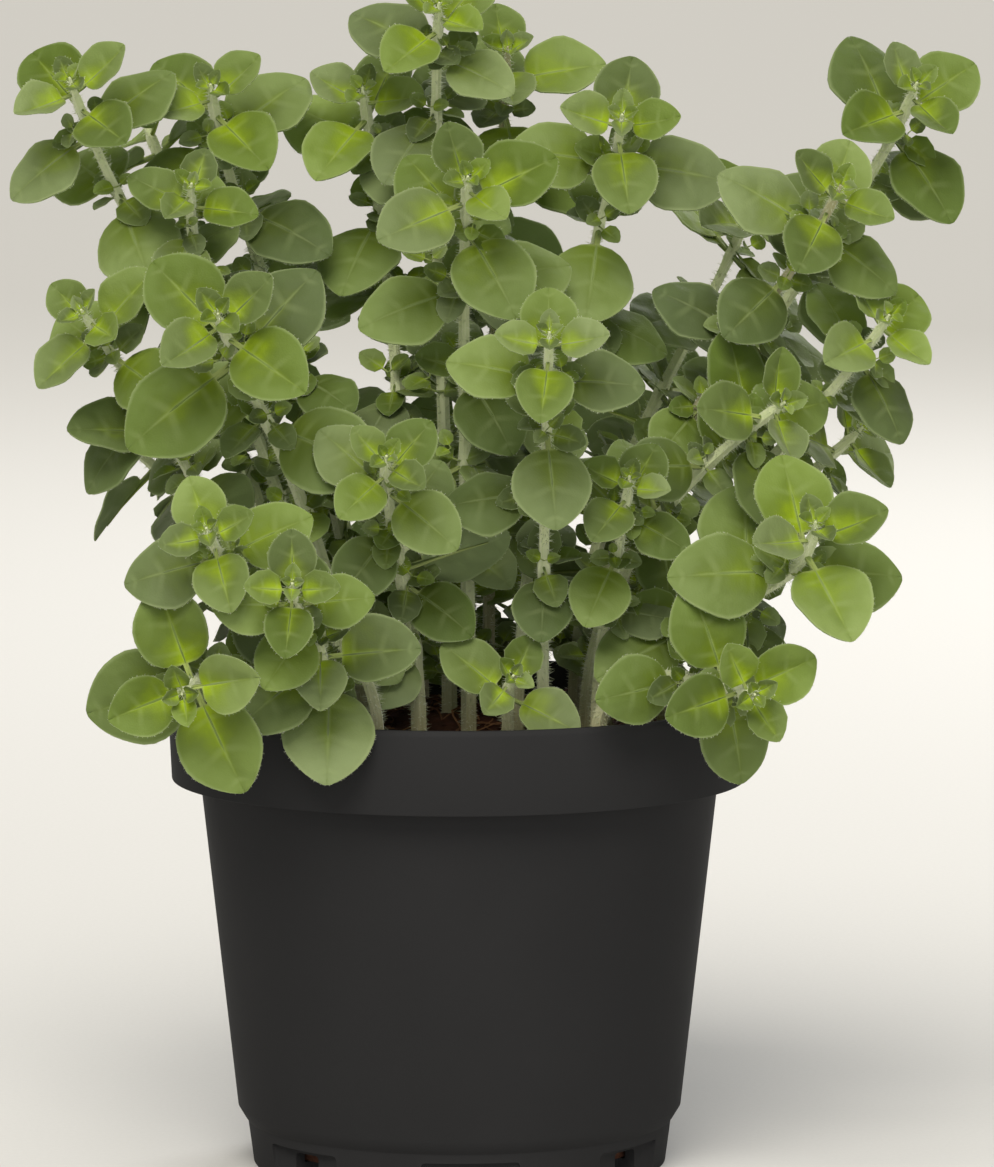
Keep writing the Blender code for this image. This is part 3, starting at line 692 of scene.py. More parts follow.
def gather(name, groups):
    """One object from groups of (shape, places, young, tone, material number). Each row of places
    holds the points of one copy of the shape, and the numbers after it are kept on those points."""
    points, corners, starts, slots, maps = [], [], [], [], []
    kept = {"young": [], "tone": [], "under": []}
    points_so_far = corners_so_far = 0
    for shape, places, young, tone, slot in groups:
        mesh = shape.data
        copies, count = len(places), len(mesh.vertices)
        own_corners = read(mesh.loops, "vertex_index", kind=int)
        own_starts = read(mesh.polygons, "loop_start", kind=int)
        own_map = read(mesh.uv_layers[0].data, "uv", 2) if mesh.uv_layers else np.zeros(len(mesh.loops) * 2)
        own_under = np.zeros(count)
        if "under" in mesh.attributes:
            own_under = read(mesh.attributes["under"].data, "value")
        order = np.arange(copies)[:, None]
        points.append(np.reshape(places, (-1, 3)))
        corners.append((own_corners + order * count + points_so_far).ravel())
        starts.append((own_starts + order * len(own_corners) + corners_so_far).ravel())
        slots.append(np.full(copies * len(own_starts), slot))
        maps.append(np.tile(own_map, copies))
        kept["young"].append(np.repeat(young, count) if np.ndim(young) == 1 else np.ravel(young))
        kept["tone"].append(np.repeat(tone, count))
        kept["under"].append(np.tile(own_under, copies))
        points_so_far += copies * count
        corners_so_far += copies * len(own_corners)
    made = bpy.data.meshes.new(name)
    made.vertices.add(points_so_far)
    made.vertices.foreach_set("co", np.concatenate(points).ravel() * MM)
    made.loops.add(corners_so_far)
    made.loops.foreach_set("vertex_index", np.concatenate(corners))
    made.polygons.add(sum(len(part) for part in starts))
    made.polygons.foreach_set("loop_start", np.concatenate(starts))
    made.polygons.foreach_set("material_index", np.concatenate(slots))
    made.uv_layers.new(name="own_surface").data.foreach_set("uv", np.concatenate(maps))
    for label, parts in kept.items():
        made.attributes.new(label, "FLOAT", "POINT").data.foreach_set("value", np.concatenate(parts))
    made.update(calc_edges=True)
    return new_object(name, made)


# The shapes that are copied


def half_width(blade):
    """Half the leaf's width at shares of its blade: widest below the middle, drawn to a blunt point."""
    roundness = ROUNDNESS[0] + (ROUNDNESS[1] - ROUNDNESS[0]) * blade
    return MASTER_WIDTH / 2 * np.sin(np.pi * blade**FATTEST) ** roundness


def model_leaf(petiole_rows, blade_rows, column_shares):
    """A leaf with its root at the origin and its tip on +Y: a grid drawn to the leaf's outline, its rows
    bent along the side veins, given its thickness, with a round petiole and rib underneath."""
    halves = len(column_shares) - 1
    rows = petiole_rows + blade_rows
    petiole_length = MASTER_LENGTH * PETIOLE
    blade_length = MASTER_LENGTH - petiole_length
    leaf = new_shape("grid", x_subdivisions=2 * halves, y_subdivisions=rows, size=2 * MM)
    cells = {
        vertex.index: (round(vertex.co.x / MM * halves), round((vertex.co.y / MM + 1) / 2 * rows))
        for vertex in leaf.data.vertices
    }
    for row in range(rows + 1):
        share = max(0, row - petiole_rows) / blade_rows
        rib = (1 - math.cos(math.pi * share)) / 2
        ahead = VEIN_FORWARD * math.sin(math.pi * rib)
        half = max(float(half_width(rib + ahead)), PETIOLE_RADIUS * LEAST_HALF * (row < rows))
        rib_place = min(1, row / petiole_rows) * petiole_length + rib * blade_length
        sunk = math.sin(math.pi * min(1, RIB_START + (1 - RIB_START) * rib))
        rib_sink = MIDRIB_SINK * sunk if row >= petiole_rows else 0
        on_vein = (1 + math.cos(math.tau * (row - petiole_rows) / ROWS_PER_VEIN)) / 2
        relief = PILLOW_RISE - (PILLOW_RISE + VEIN_SINK) * on_vein
        for column, column_share in enumerate(column_shares):
            lift = -rib_sink * (1 - column_share) ** 2
            if 0 < column < halves and petiole_rows < row < rows and blade_rows > SMALL_ROWS[1]:
                lift += relief * (1 if column > 1 else NEAR_RIB)
            before = ((row / rows) * 2 - 1) * MM
            after = (rib_place + ahead * blade_length * column_share**MARGIN_CURVE) * MM
            edit_selected(leaf.data, lambda vertex: cells[vertex.index] in ((column, row), (-column, row)))
            bpy.ops.transform.translate(value=(0, after - before, lift * MM))
            if column:
                stretch = half * column_share / (column / halves)
                bpy.ops.transform.resize(value=(stretch, 1, 1), center_override=(0, 0, 0))
    bpy.ops.mesh.select_all(action="SELECT")
    bpy.ops.mesh.remove_doubles(threshold=MERGE * MM)
    bpy.ops.object.mode_set(mode="OBJECT")
    upper_points = len(leaf.data.vertices)
    wall = leaf.modifiers.new("blade", "SOLIDIFY")
    wall.thickness = BLADE_THICK * MM
    wall.offset = 0
    apply_modifiers(leaf)
    under = leaf.data.attributes.new("under", "FLOAT", "POINT")
    under.data.foreach_set("value", [float(n >= upper_points) for n in range(len(leaf.data.vertices))])
    rib = model_rib()
    active(leaf)
    rib.select_set(True)
    bpy.ops.object.join()
    return take_out(leaf)


def model_rib():
    """The round petiole, running on as a tapering rib under the blade."""
    first = RIB_STEPS[0][1] * MM
    upright = (math.pi / 2, 0, 0)
    rib = new_shape("circle", vertices=RIB_SIDES, radius=first, fill_type="NGON", rotation=upright)
    bpy.ops.object.mode_set(mode="EDIT")
    for (start, radius), (stop, next_radius) in itertools.pairwise(RIB_STEPS):
        step = (0, (stop - start) * MASTER_LENGTH * MM, 0)
        bpy.ops.mesh.extrude_region_move(TRANSFORM_OT_translate={"value": step})
        scale = next_radius / radius
        place = (0, stop * MASTER_LENGTH * MM, 0)
        bpy.ops.transform.resize(value=(scale, 1, scale), center_override=place)
    bpy.ops.mesh.select_all(action="SELECT")
    bpy.ops.mesh.normals_make_consistent(inside=False)
    bpy.ops.object.mode_set(mode="OBJECT")
    for vertex in rib.data.vertices:
        share = vertex.co.y / MM / MASTER_LENGTH
        if share > PETIOLE / 2:
            vertex.co.z -= MIDRIB_SINK * MM
    own_map = rib.data.uv_layers.new(name="UVMap")
    for loop, spot in zip(rib.data.loops, own_map.data):
        spot.uv = (0.5, rib.data.vertices[loop.vertex_index].co.y / MM / MASTER_LENGTH)
    return rib


def model_stem():
    """A straight stem with four rounded corners, 1 mm from its middle to its sides and 1 mm long."""
    stem = new_shape("cylinder", vertices=STEM_SIDES, radius=MM, depth=MM, location=(0, 0, MM / 2))
    edit_selected(stem.data, lambda vertex: abs(vertex.co.x) > MM / 2 and abs(vertex.co.y) > MM / 2)
    bpy.ops.transform.resize(value=(CORNER_REACH, CORNER_REACH, 1), center_override=(0, 0, 0))
    bpy.ops.object.mode_set(mode="OBJECT")
    heights = [vertex.co.z for vertex in stem.data.vertices]
    edit_selected(stem.data, lambda edge: heights[edge.vertices[0]] != heights[edge.vertices[1]], "EDGE")
    bpy.ops.mesh.subdivide(number_cuts=STEM_RINGS - 1)
    bpy.ops.object.mode_set(mode="OBJECT")
    return take_out(stem)


def model_hair():
    """A fine spike on +Z, 1 mm in radius and 1 mm high before it is copied."""
    place = (0, 0, MM / 2)
    return take_out(new_shape("cone", vertices=3, radius1=MM, radius2=0, depth=MM, location=place))


def model_crumb():
    """A lump of bark or peat, about 1 mm in radius, knocked out of round."""
    crumb = new_shape("ico_sphere", subdivisions=2, radius=MM)
    bpy.ops.object.mode_set(mode="EDIT")
    bpy.ops.transform.vertex_random(offset=CRUMB_KNOCK * MM, seed=CRUMB_SEED)
    bpy.ops.object.mode_set(mode="OBJECT")
    return take_out(crumb)


def model_fibre():
    """A straight strand on X, 1 mm long and 1 mm in radius before it is copied."""
    fibre = new_shape("cylinder", vertices=3, radius=MM, depth=MM, rotation=(0, math.pi / 2, 0))
    sides = [vertex.co.x for vertex in fibre.data.vertices]
    edit_selected(fibre.data, lambda edge: sides[edge.vertices[0]] * sides[edge.vertices[1]] < 0, "EDGE")
    bpy.ops.mesh.subdivide(number_cuts=FIBRE_STEPS - 1)
    bpy.ops.object.mode_set(mode="OBJECT")
    return take_out(fibre)


# Soil


def soil_height(x, y):
    humps = [math.sin(x / along + phase) * math.cos(y / across) for along, across, phase in SOIL_HUMPS]
    clods = noise.noise(Vector((x, y, 0)) / CLOD_SIZE) * CLOD_HEIGHT
    grains = noise.noise(Vector((x, y, CLOD_SIZE)) / GRAIN_SIZE) * GRAIN_HEIGHT
    out = math.hypot(x, y - MOUND_Y) / MOUND_RADIUS
    mound = MOUND_RISE * max(0, 1 - out**2) ** 2
    return SOIL_TOP + SOIL_RELIEF * sum(humps) + mound + clods + grains


def model_plug():
    """The potting mix without its crumbs: a plug that fills the pot, its top worked into clods."""
    ledge = POT_HEIGHT - BAND_HEIGHT + WALL + 2 * GAP
    foot_inner = FOOT_RADIUS - FOOT_WALL - 2 * GAP
    top_radius = BAND_BOTTOM_RADIUS - WALL - GAP
    rings = [
        (foot_inner, FLOOR_TOP + GAP),
        (foot_inner, FOOT_HEIGHT + WALL + 2 * GAP),
        (HEEL_RADIUS - WALL - 2 * GAP, HEEL_HEIGHT + WALL + 2 * GAP),
        (SHOULDER_RADIUS - WALL - 2 * GAP, ledge - GAP),
        (top_radius, ledge),
        (top_radius, SOIL_TOP),
    ]
    foot = (0, 0, rings[0][1] * MM)
    plug = new_shape("circle", vertices=SOIL_SIDES, radius=foot_inner * MM, fill_type="NGON", location=foot)
    bpy.ops.object.mode_set(mode="EDIT")
    extrude_rings(rings)
    for _ in range(SOIL_RINGS):
        bpy.ops.mesh.inset(thickness=top_radius / (SOIL_RINGS + 1) * MM)
    bpy.ops.mesh.poke()
    bpy.ops.mesh.select_all(action="SELECT")
    bpy.ops.mesh.normals_make_consistent(inside=False)
    bpy.ops.object.mode_set(mode="OBJECT")
    for vertex in plug.data.vertices:
        if vertex.co.z > (SOIL_TOP - GAP) * MM:
            vertex.co.z = soil_height(vertex.co.x / MM, vertex.co.y / MM) * MM
    return take_out(plug)


def scatter(count, margin):
    """Places spread evenly over the soil, as rows of x and y, at least a margin from the pot."""
    reach = (BAND_BOTTOM_RADIUS - WALL - margin) * np.sqrt(draws.uniform(0, 1, count))
    turn = draws.uniform(0, math.tau, count)
    return np.stack([reach * np.cos(turn), reach * np.sin(turn)], axis=-1)


def turned(points, turn):
    """Points turned about Z."""
    x, y, z = points.T
    cos, sin = math.cos(turn), math.sin(turn)
    return np.stack([x * cos - y * sin, x * sin + y * cos, z], axis=-1)


def scattered_crumbs(crumb):
    """Crumbs, most of them small, each stretched its own way and nearly half sunk in the soil."""
    points = points_of(crumb)
    places = []
    for x, y in scatter(CRUMBS, CRUMB_MARGIN):
        size = CRUMB_SIZE[0] + (CRUMB_SIZE[1] - CRUMB_SIZE[0]) * draws.beta(*CRUMB_SIZE_DRAW)
        stretch = draws.uniform(*CRUMB_STRETCH)
        shape = turned(points * size * stretch, draws.uniform(0, math.tau))
        places.append(shape + (x, y, soil_height(x, y) + CRUMB_LIFT * size))
    return np.array(places)


def scattered_fibres(fibre):
    """Strands of coir and root that lie over the clods."""
    points = points_of(fibre)
    places = []
    for x, y in scatter(FIBRES, FIBRE_MARGIN):
        length, width = draws.uniform(*FIBRE_LENGTH), draws.uniform(*FIBRE_WIDTH)
        along = points[:, 0] * length
        half_turn = points[:, 0] * math.pi
        bow = draws.normal(0, FIBRE_BOW) * length * np.cos(half_turn * draws.uniform(*FIBRE_WAVES))
        rise = draws.uniform(*FIBRE_RISE) * np.cos(half_turn) + FIBRE_LIFT
        shape = np.stack([along, points[:, 1] * width + bow, points[:, 2] * width + rise], axis=-1)
        shape = turned(shape, draws.uniform(0, math.tau)) + (x, y, 0)
        ground = [soil_height(*point) for point in shape[:, :2]]
        shape[:, 2] += ground
        if np.hypot(shape[:, 0], shape[:, 1]).max() <= BAND_BOTTOM_RADIUS - WALL - FIBRE_CLEAR:
            places.append(shape)
    return np.array(places)


def scattered_leaves(small_leaf):
    """Small dry leaves that have dropped on the soil, curled a little."""
    places = []
    for x, y in scatter(FALLEN_LEAVES, FALLEN_MARGIN):
        turn, length = draws.uniform(0, math.tau), draws.uniform(*FALLEN_LENGTH)
        along = Vector((math.cos(turn), math.sin(turn), draws.uniform(*FALLEN_TILT))).normalized()
        face = along.cross(UP).cross(along).normalized()
        root = Vector((x, y, soil_height(x, y) + FALLEN_LIFT))
        leaf = new_leaf(root, along, face, length, FALLEN_DROOP_DEG, FALLEN_FOLD, 0)
        places.append(lay_leaf(points_of(small_leaf), leaf))
    return np.array(places)


def model_soil(finish, small_leaf):
    plug, crumb, fibre = model_plug(), model_crumb(), model_fibre()
    crumbs, fibres, fallen = scattered_crumbs(crumb), scattered_fibres(fibre), scattered_leaves(small_leaf)
    groups = [
        (plug, points_of(plug)[None], np.zeros(1), np.full(1, SOIL_TONE), 0),
        (crumb, crumbs, np.zeros(len(crumbs)), draws.beta(*CRUMB_TONES, len(crumbs)), 0),
        (fibre, fibres, np.zeros(len(fibres)), draws.uniform(*FIBRE_TONES, len(fibres)), 0),
        (small_leaf, fallen, np.zeros(len(fallen)), draws.uniform(*FALLEN_TONES, len(fallen)), 0),
    ]
    soil = gather("potting_mix", groups)
    finish_piece(soil, "potting_mix", [finish], "soil", SOIL_SMOOTH_DEG)


# Stems: the rule that the solids were grown by


class StemLine:
    """The middle line of a stem, from its foot in the soil to its tip."""

    samples = 80

    def __init__(self, stem, sway):
        foot = Vector((*stem.foot, SOIL_TOP + STEM_STRAIGHT))
        tip = Vector(stem.tip)
        reach = (tip - foot).length
        across = Vector((foot.y - tip.y, tip.x - foot.x, 0)).normalized()
        start = foot + (UP + across * sway) * reach * FOOT_PULL
        end = tip - Vector(stem.aim).normalized() * reach * TIP_PULL
        below = Vector((*stem.foot, SOIL_TOP - STEM_DEPTH))
        self.points = [below, *interpolate_bezier(foot, start, end, tip, self.samples)]
        self.distances = [0.0]
        for first, second in itertools.pairwise(self.points):
            self.distances.append(self.distances[-1] + (second - first).length)
        self.length = self.distances[-1]

    def at(self, distance):
        """The point and direction at a distance from the foot."""
        for index in range(len(self.points) - 1):
            if self.distances[index + 1] >= distance or index == len(self.points) - 2:
                first, second = self.points[index], self.points[index + 1]
                share = (distance - self.distances[index]) / (second - first).length
                return first.lerp(second, share), (second - first).normalized()

    def frames(self, distances):
        """The points at many distances, and the ways across the stem at turns of 0 and 90 degrees."""
        ways = [(second - first).normalized() for first, second in itertools.pairwise(self.points)]
        ways.append(ways[-1])
        rows = [
            (*point, *across_stem(way, 0), *across_stem(way, math.pi / 2))
            for point, way in zip(self.points, ways)
        ]
        columns = [np.interp(distances, self.distances, column) for column in np.array(rows).T]
        return [np.stack(columns[first : first + 3], axis=-1) for first in (0, 3, 6)]


def across_stem(direction, turn):
    """The way that a turn about a stem faces, for a stem that runs in a direction."""
    return UP.rotation_difference(direction) @ Vector((math.cos(turn), math.sin(turn), 0))


def ring_places(stem, line):
    places = [0.0, STEM_DEPTH + STEM_STRAIGHT]
    drops = [drop * stem.size for drop in PAIR_DROP[FIRST_RING_PAIR : stem.pairs]]
    nodes = [line.length - drop - RING_BELOW_NODE for drop in drops]
    for place in [*sorted(nodes), line.length]:
        bare = place - places[-1]
        steps = max(1, round(bare / LONGEST_BARE))
        places += [place - bare * (steps - 1 - step) / steps for step in range(steps)]
    return places


def side_at(share):
    """How wide a stem's sides are at shares of its length."""
    return STEM_FOOT_SIDE + (STEM_TIP_SIDE - STEM_FOOT_SIDE) * share


def tube_corners(stem, line):
    """The corners of the stem's solid."""
    corners = []
    for distance in ring_places(stem, line):
        middle, direction = line.at(distance)
        radius = side_at(distance / line.length) / 2 * math.sqrt(2)
        for corner in range(4):
            turn = math.radians(stem.turn + 45 + 90 * corner)
            corners.append(middle + across_stem(direction, turn) * radius)
    return corners


# Leaves


def new_leaf(root, along, face, length, droop, fold, young):
    return Leaf(root, along, face, length, length * (1 - PETIOLE) * WIDTH_RATIO, droop, fold, young)


def leaf_tip(leaf):
    """The corner that the tip of a leaf's solid has."""
    bend = math.radians(leaf.droop)
    radius = leaf.length * (1 - BEND_START) / bend
    middle = leaf.root + leaf.along * leaf.length * BEND_START
    middle += leaf.along * radius * math.sin(bend) - leaf.face * radius * (1 - math.cos(bend))
    return middle + (leaf.face * math.cos(bend) + leaf.along * math.sin(bend)) * LEAF_THICKNESS / 2


def light_on(stem):
    """The way the light comes from for a stem's leaves: where it leans, and above."""
    aim = Vector(stem.aim).normalized()
    return (aim + Vector((aim.x, aim.y, 0)).normalized() * LIGHT_LEAN).normalized()


def facing_light(stem, direction, outward, lean):
    """The way along a leaf and the way its face looks, once it has turned towards the light."""
    along = direction * math.cos(lean) + outward * math.sin(lean)
    face = direction * math.sin(lean) - outward * math.cos(lean)
    to_light = Quaternion().slerp(face.rotation_difference(light_on(stem)), LIGHT_SHARE)
    return to_light @ along, to_light @ face


def leaf_on(stem, line, pair, side, draw, change):
    """One leaf of a pair, with the change that it made to clear its neighbours."""
    size_draw, turn_draw, lean_draw = draw
    lift, swing, shrink = change
    root, direction = line.at(line.length - PAIR_DROP[pair] * stem.size)
    turn = math.radians(stem.turn + 90 * pair + 180 * side + turn_draw + swing)
    lean = math.radians(PAIR_LEAN_DEG[pair] + lean_draw - lift)
    along, face = facing_light(stem, direction, across_stem(direction, turn), lean)
    length = PAIR_LENGTH[pair] * stem.size * size_draw * shrink
    return new_leaf(root, along, face, length, PAIR_DROOP_DEG[pair], PAIR_FOLD[pair], PAIR_YOUNG[pair])


def leaf_changes():
    """(lift, swing, shrink) for a leaf, from none to the largest."""
    every = itertools.product(LIFTS_DEG, SWINGS_DEG, SHRINKS)
    return sorted(every, key=lambda each: abs(each[0]) + abs(each[1]) + SHRINK_COST * (1 - each[2]))


CHANGES = leaf_changes()


def corners_of_node(name):
    """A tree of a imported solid's corners, in millimetres."""
    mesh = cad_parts[name].data
    tree = KDTree(len(mesh.vertices))
    for vertex in mesh.vertices:
        tree.insert(vertex.co / MM, vertex.index)
    tree.balance()
    return tree


def found_line(stem, tree):
    """The stem's line as its solid has it: the sway that puts most of the tube's corners in their place."""
    lines = [StemLine(stem, sway) for sway in SWAYS]
    return max(lines, key=lambda line: sum(tree.find(c)[2] < SAME_PLACE for c in tube_corners(stem, line)))


def found_leaves(number, stem, line, tree):
    """The leaves that the stem's solid has, each with the change that puts its tip in its place."""
    stem_draws = random.Random(SEED + number)
    leaves = []
    for pair, side in itertools.product(range(FIRST_PAIR, stem.pairs), (0, 1)):
        size_draw = stem_draws.uniform(*SIZE_DRAW)
        turn_draw = stem_draws.uniform(-TURN_DRAW_DEG, TURN_DRAW_DEG)
        lean_draw = stem_draws.uniform(-LEAN_DRAW_DEG, LEAN_DRAW_DEG)
        for change in CHANGES:
            leaf = leaf_on(stem, line, pair, side, (size_draw, turn_draw, lean_draw), change)
            if tree.find(leaf_tip(leaf))[2] < SAME_PLACE:
                leaves.append(leaf)
                break
    return leaves


def bud_leaves(stem, line):
    """The two pairs at the very tip that are still folded together."""
    leaves = [leaf_on(stem, line, 0, side, (1, 0, 0), (0, 0, 1)) for side in (0, 1)]
    root, direction = line.at(line.length - BUD_DROP)
    for side in (0, 1):
        outward = across_stem(direction, math.radians(stem.turn - 90 + 180 * side))
        along, face = facing_light(stem, direction, outward, math.radians(BUD_LEAN_DEG))
        length = BUD_LENGTH * stem.size
        leaves.append(new_leaf(root, along, face, length, BUD_DROOP_DEG, BUD_FOLD, 1.0))
    return leaves


def shoot(stem, root, direction, outward, growth):
    """A short side shoot in a leaf's axil, with two pairs of small leaves."""
    lean = math.radians(SHOOT_LEAN_DEG)
    way = (direction * math.cos(lean) + outward * math.sin(lean)).normalized()
    leaves = []
    first_turn = draws.uniform(0, math.pi)
    for number, (rise, length, leaf_lean, young) in enumerate(SHOOT_LEAVES):
        for side in (0, 1):
            turn = first_turn + math.pi / 2 * number + math.pi * side + draws.normal(0, SHOOT_TURN_SPREAD)
            leaf_way = math.radians(leaf_lean + draws.normal(0, SHOOT_LEAN_SPREAD_DEG))
            along, face = facing_light(stem, way, across_stem(way, turn), leaf_way)
            size = length * growth * draws.uniform(*SHOOT_DRAW)
            place = root + way * rise * growth
            leaves.append(new_leaf(place, along, face, size, SHOOT_DROOP_DEG, SHOOT_FOLD, young))
    return leaves


def axil_shoots(stem, line):
    """A side shoot above each full-grown leaf."""
    leaves = []
    for pair in range(AXIL_PAIR, stem.pairs):
        root, direction = line.at(line.length - PAIR_DROP[pair] * stem.size)
        for side in (0, 1):
            outward = across_stem(direction, math.radians(stem.turn + 90 * pair + 180 * side))
            growth = stem.size * (1 if pair < OLD_PAIR else OLD_GROWTH)
            leaves += shoot(stem, root + outward * AXIL_OUT, direction, outward, growth)
    return leaves


def low_shoots(stem, line):
    """Small shoots on the bare foot of a stem, where its first leaves have dropped."""
    leaves = []
    lowest = line.length - PAIR_DROP[stem.pairs - 1] * stem.size
    distance = STEM_DEPTH + LOW_START
    while distance < lowest - LOW_START:
        root, direction = line.at(distance)
        turn = draws.uniform(0, math.tau)
        over_soil = math.hypot(root.x, root.y) < POT_CLEAR and root.y > SOIL_VIEW_Y
        clear = over_soil or root.z > SOIL_VIEW_Z
        for side in (0, 1):
            outward = across_stem(direction, turn + math.pi * side)
            if clear:
                leaves += shoot(stem, root + outward, direction, outward, LOW_GROWTH * stem.size)
        distance += LOW_SPACING * draws.uniform(*LOW_SPACING_DRAW)
    return leaves


def lone_leaves(stem, line):
    """The stem's leaves that stand apart from its pairs."""
    leaves = []
    for name, below, along, face, length, young in LONE_LEAVES:
        if name == stem.name:
            root, _ = line.at(line.length - below)
            along = Vector(along).normalized()
            face = along.cross(Vector(face)).normalized().cross(along)
            leaves.append(new_leaf(root, along, face, length, LONE_DROOP_DEG, LONE_FOLD, young))
    return leaves


# Laying shapes on the plant


def lay_leaf(points, leaf):
    """The points of a flat master leaf, bent on to its place, its margins a little wavy."""
    x, y, z = points.T
    scale = leaf.length / MASTER_LENGTH
    share = y / MASTER_LENGTH
    bend = math.radians(leaf.droop)
    radius = leaf.length * (1 - BEND_START) / bend
    turn = (bend * np.maximum(0, share - BEND_START) / (1 - BEND_START))[:, None]
    root, along, face = np.array(leaf.root), np.array(leaf.along), np.array(leaf.face)
    middle = root + along * leaf.length * np.minimum(share, BEND_START)[:, None]
    middle = middle + along * radius * np.sin(turn) - face * radius * (1 - np.cos(turn))
    facing = face * np.cos(turn) + along * np.sin(turn)
    widest = MASTER_WIDTH / 2
    spread = np.abs(x) / widest
    power = OPEN_CUP if leaf.fold < OPEN_FOLD else FOLDED_CUP
    own = leaf.root[0] + leaf.root[2] + leaf.length
    wave = np.sin(share * math.tau * RUFFLE_TURNS + np.where(x > 0, *RUFFLE_STARTS) + own)
    cup = leaf.fold + CUP_CHANGE * math.sin(CUP_STEP * own)
    lift = z + cup * widest * spread**power + RUFFLE * spread**2 * wave
    return middle + np.cross(along, face) * (x * scale)[:, None] + facing * (lift * scale)[:, None]


def lay_stem(points, stem, line):
    """The points of a straight master stem on the stem's line, a little swollen at its nodes."""
    share = points[:, 2]
    distances = share * line.length
    nodes = line.length - np.array(PAIR_DROP[: stem.pairs]) * stem.size
    nearness = np.exp(-(((distances[:, None] - nodes) / NODE_REACH) ** 2)).max(axis=1)
    taper = np.clip((line.length - distances) / TIP_TAPER, TIP_SHARE, 1)
    radius = side_at(share) / 2 * (1 + NODE_SWELL * nearness) * taper
    x, y, _ = turned(points, math.radians(stem.turn)).T * radius
    middle, first, second = line.frames(distances)
    return middle + first * x[:, None] + second * y[:, None]


def unit(rows):
    return rows / np.linalg.norm(rows, axis=-1, keepdims=True)


def lay_hairs(points, roots, tips, width):
    """A copy of the master hair from each root to its tip."""
    way = tips - roots
    steep = np.abs(way[:, 2:]) > STEEP * np.linalg.norm(way, axis=-1, keepdims=True)
    aside = np.where(steep, (1, 0, 0), (0, 0, 1))
    first = unit(np.cross(way, aside))
    second = unit(np.cross(way, first))
    x, y, z = points.T * np.array([[width / 2], [width / 2], [1]])
    crosswise = first[:, None] * x[:, None] + second[:, None] * y[:, None]
    return roots[:, None] + crosswise + way[:, None] * z[:, None]


def leaf_hairs(leaf, density):
    """Roots and tips of the hairs round a leaf's margin."""
    count = int(leaf.length * density) + 1
    blade = (1 - np.cos(np.pi * draws.uniform(*HAIRY_SHARES, count))) / 2
    side = draws.choice((-1, 1), count)
    length = draws.uniform(*LEAF_HAIR, count) * MASTER_LENGTH / leaf.length
    step = 0.01
    x, y = half_width(blade), (PETIOLE + blade * (1 - PETIOLE)) * MASTER_LENGTH
    rise = half_width(np.minimum(blade + step, 1)) - x
    outward = unit(np.stack([side * step * MASTER_LENGTH, -rise, np.zeros(count)], axis=-1))
    roots = np.stack([x * side, y, np.zeros(count)], axis=-1)
    tips = roots + unit(outward + draws.normal(0, HAIR_SPREAD, (count, 3))) * length[:, None]
    return lay_leaf(roots, leaf), lay_leaf(tips, leaf)


def stem_hairs(stem, line):
    """Roots and tips of the hairs all round a stem."""
    count = int((line.length - STEM_DEPTH) * STEM_HAIRS_PER_MM)
    distances = draws.uniform(STEM_DEPTH, line.length, count)
    turn = draws.uniform(0, math.tau, count)[:, None]
    middle, first, second = line.frames(distances)
    outward = first * np.cos(turn) + second * np.sin(turn)
    roots = middle + outward * side_at(distances / line.length)[:, None] / 2
    way = unit(outward + draws.normal(0, HAIR_SPREAD, (count, 3)))
    return roots, roots + way * draws.uniform(*STEM_HAIR, (count, 1))


def hair_group(hair, ends, width):
    """The group of hairs, for gather, that runs between roots and tips."""
    roots, tips = [np.concatenate(rows) for rows in zip(*ends)]
    count = len(roots)
    return hair, lay_hairs(points_of(hair), roots, tips, width), np.ones(count), draws.uniform(0, 1, count), 1


def leaf_group(master, leaves):
    places = np.array([lay_leaf(points_of(master), leaf) for leaf in leaves])
    young = np.array([leaf.young for leaf in leaves]) * draws.uniform(*YOUNG_DRAW, len(leaves))
    return master, places, young, draws.uniform(0, 1, len(leaves)), 0


def age_of_stem(stem, heights):
    """How green a stem is at heights above the soil, from 0 where it is woody to 1 where it is fresh.
    Its brown near the soil is woody bark and painted shade.
    """
    green = np.clip(heights / WOODY_HEIGHT, LEAST_GREEN, 1)
    return green * WOODY_GREEN if stem.name in WOODY_STEMS else green


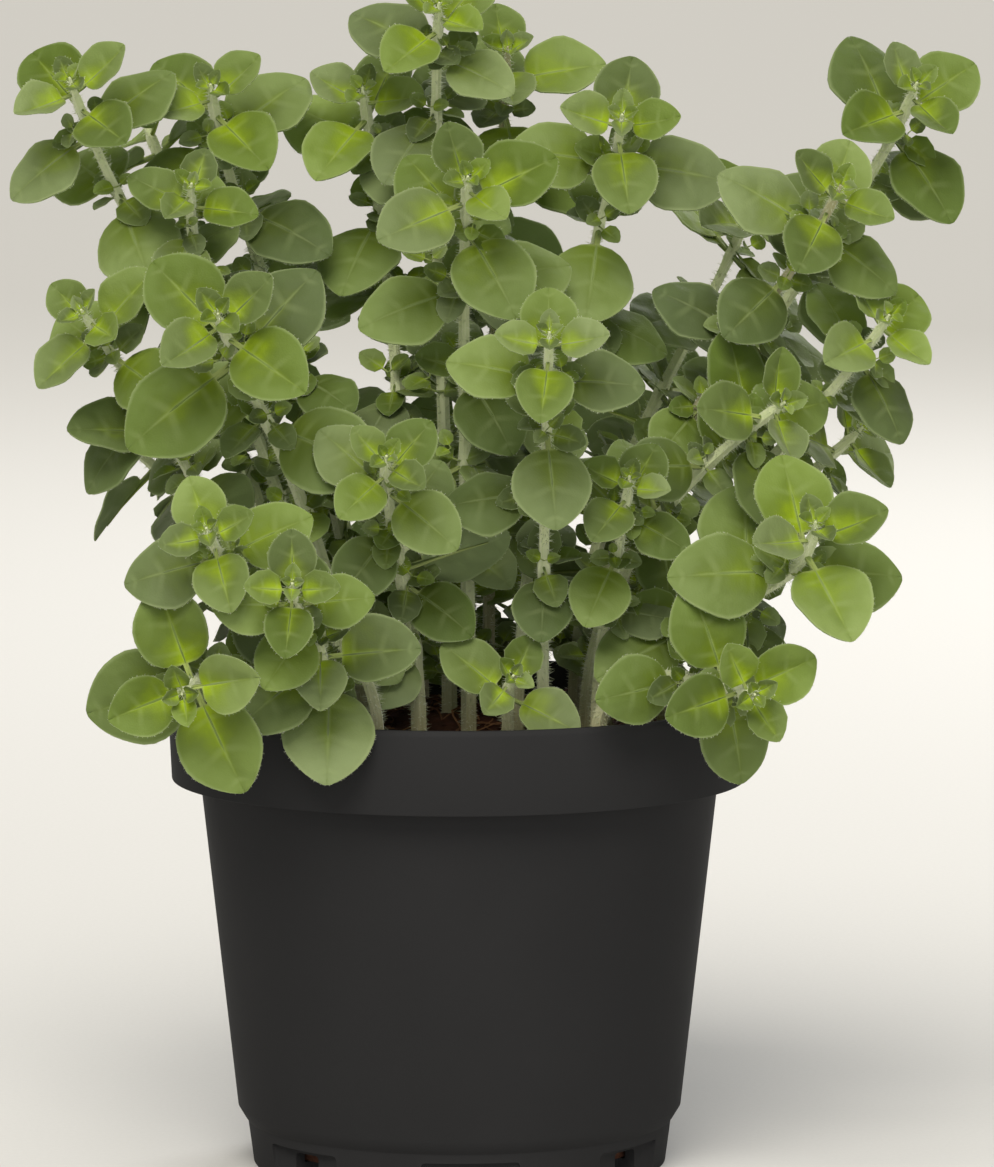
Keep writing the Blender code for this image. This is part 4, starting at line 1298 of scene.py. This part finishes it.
def grow(number, stem, masters, finishes):
    """The finer leaves, stem and hairs of one packed stem."""
    tree = corners_of_node(stem.name)
    line = found_line(stem, tree)
    own = found_leaves(number, stem, line, tree) + lone_leaves(stem, line)
    small = bud_leaves(stem, line) + axil_shoots(stem, line) + low_shoots(stem, line)
    large = [leaf for leaf in own if leaf.length >= SMALL_LEAF]
    small += [leaf for leaf in own if leaf.length < SMALL_LEAF]
    place = stem.name.removeprefix("stem_")
    groups = [leaf_group(masters["large_leaf"], large), leaf_group(masters["small_leaf"], small)]
    ends = [leaf_hairs(leaf, LEAF_HAIRS_PER_MM) for leaf in large]
    ends += [leaf_hairs(leaf, SMALL_LEAF_HAIRS_PER_MM) for leaf in small]
    groups.append(hair_group(masters["hair"], ends, LEAF_HAIR_WIDTH))
    foliage = gather("leaves_" + place, groups)
    finishes_of_leaves = [finishes["leaf"], finishes["hair"]]
    finish_piece(foliage, "leaves_" + place, finishes_of_leaves, stem.name, LEAF_SMOOTH_DEG)
    tube = lay_stem(points_of(masters["stem"]), stem, line)
    young = age_of_stem(stem, tube[:, 2] - SOIL_TOP)
    groups = [(masters["stem"], tube[None], young[None], np.full(1, STALK_TONE), 0)]
    groups.append(hair_group(masters["hair"], [stem_hairs(stem, line)], STEM_HAIR_WIDTH))
    stalk = gather("stalk_" + place, groups)
    skins = [finishes["stem"], finishes["hair"]]
    finish_piece(stalk, "stalk_" + place, skins, stem.name, STALK_SMOOTH_DEG)


# Studio


def add_light(name, place, power):
    """A soft square white light that looks at the plant."""
    lamp = bpy.data.lights.new(name, "AREA")
    lamp.shape = "SQUARE"
    lamp.size = LIGHT_SIZE
    lamp.energy = power
    light = new_object(name, lamp)
    light.location = place
    light.rotation_euler = (Vector(LIGHT_TARGET) - Vector(place)).to_track_quat("-Z", "Y").to_euler()


def set_up_studio():
    floor = new_shape("plane", size=FLOOR_SIZE)
    floor.name = "studio_floor"
    floor.data.materials.append(studio_paper())
    sun = bpy.data.lights.new("daylight", "SUN")
    sun.energy = SUN_POWER
    sun.angle = math.radians(SUN_WIDTH_DEG)
    sun.color = colour(SUN_COLOUR)[:3]
    daylight = new_object("daylight", sun)
    daylight.rotation_euler = Vector(SUN_FROM).to_track_quat("Z", "Y").to_euler()
    for light in LIGHTS:
        add_light(*light)
    world = bpy.data.worlds.new("studio")
    world.use_nodes = True
    background = world.node_tree.nodes["Background"]
    background.inputs["Color"].default_value = colour(SKY_COLOUR)
    background.inputs["Strength"].default_value = SKY_POWER
    bpy.context.scene.world = world
    bpy.context.scene.view_settings.view_transform = "Standard"
    lens = bpy.data.cameras.new("camera")
    lens.lens = CAMERA_LENS
    camera = new_object("camera", lens)
    camera.location = CAMERA_PLACE
    camera.rotation_euler = (math.radians(CAMERA_TILT_DEG), 0, 0)
    bpy.context.scene.camera = camera


def main():
    finishes = {"leaf": oregano_leaf_tissue(), "stem": oregano_stem_skin(), "hair": plant_hair()}
    masters = {
        "large_leaf": model_leaf(*LARGE_ROWS, COLUMN_SHARES),
        "small_leaf": model_leaf(*SMALL_ROWS, SMALL_COLUMN_SHARES),
        "stem": model_stem(),
        "hair": model_hair(),
    }
    model_pot(moulded_polypropylene())
    model_soil(potting_mix(), masters["small_leaf"])
    for number, stem in enumerate(STEMS):
        grow(number, stem, masters, finishes)
    set_up_studio()


main()
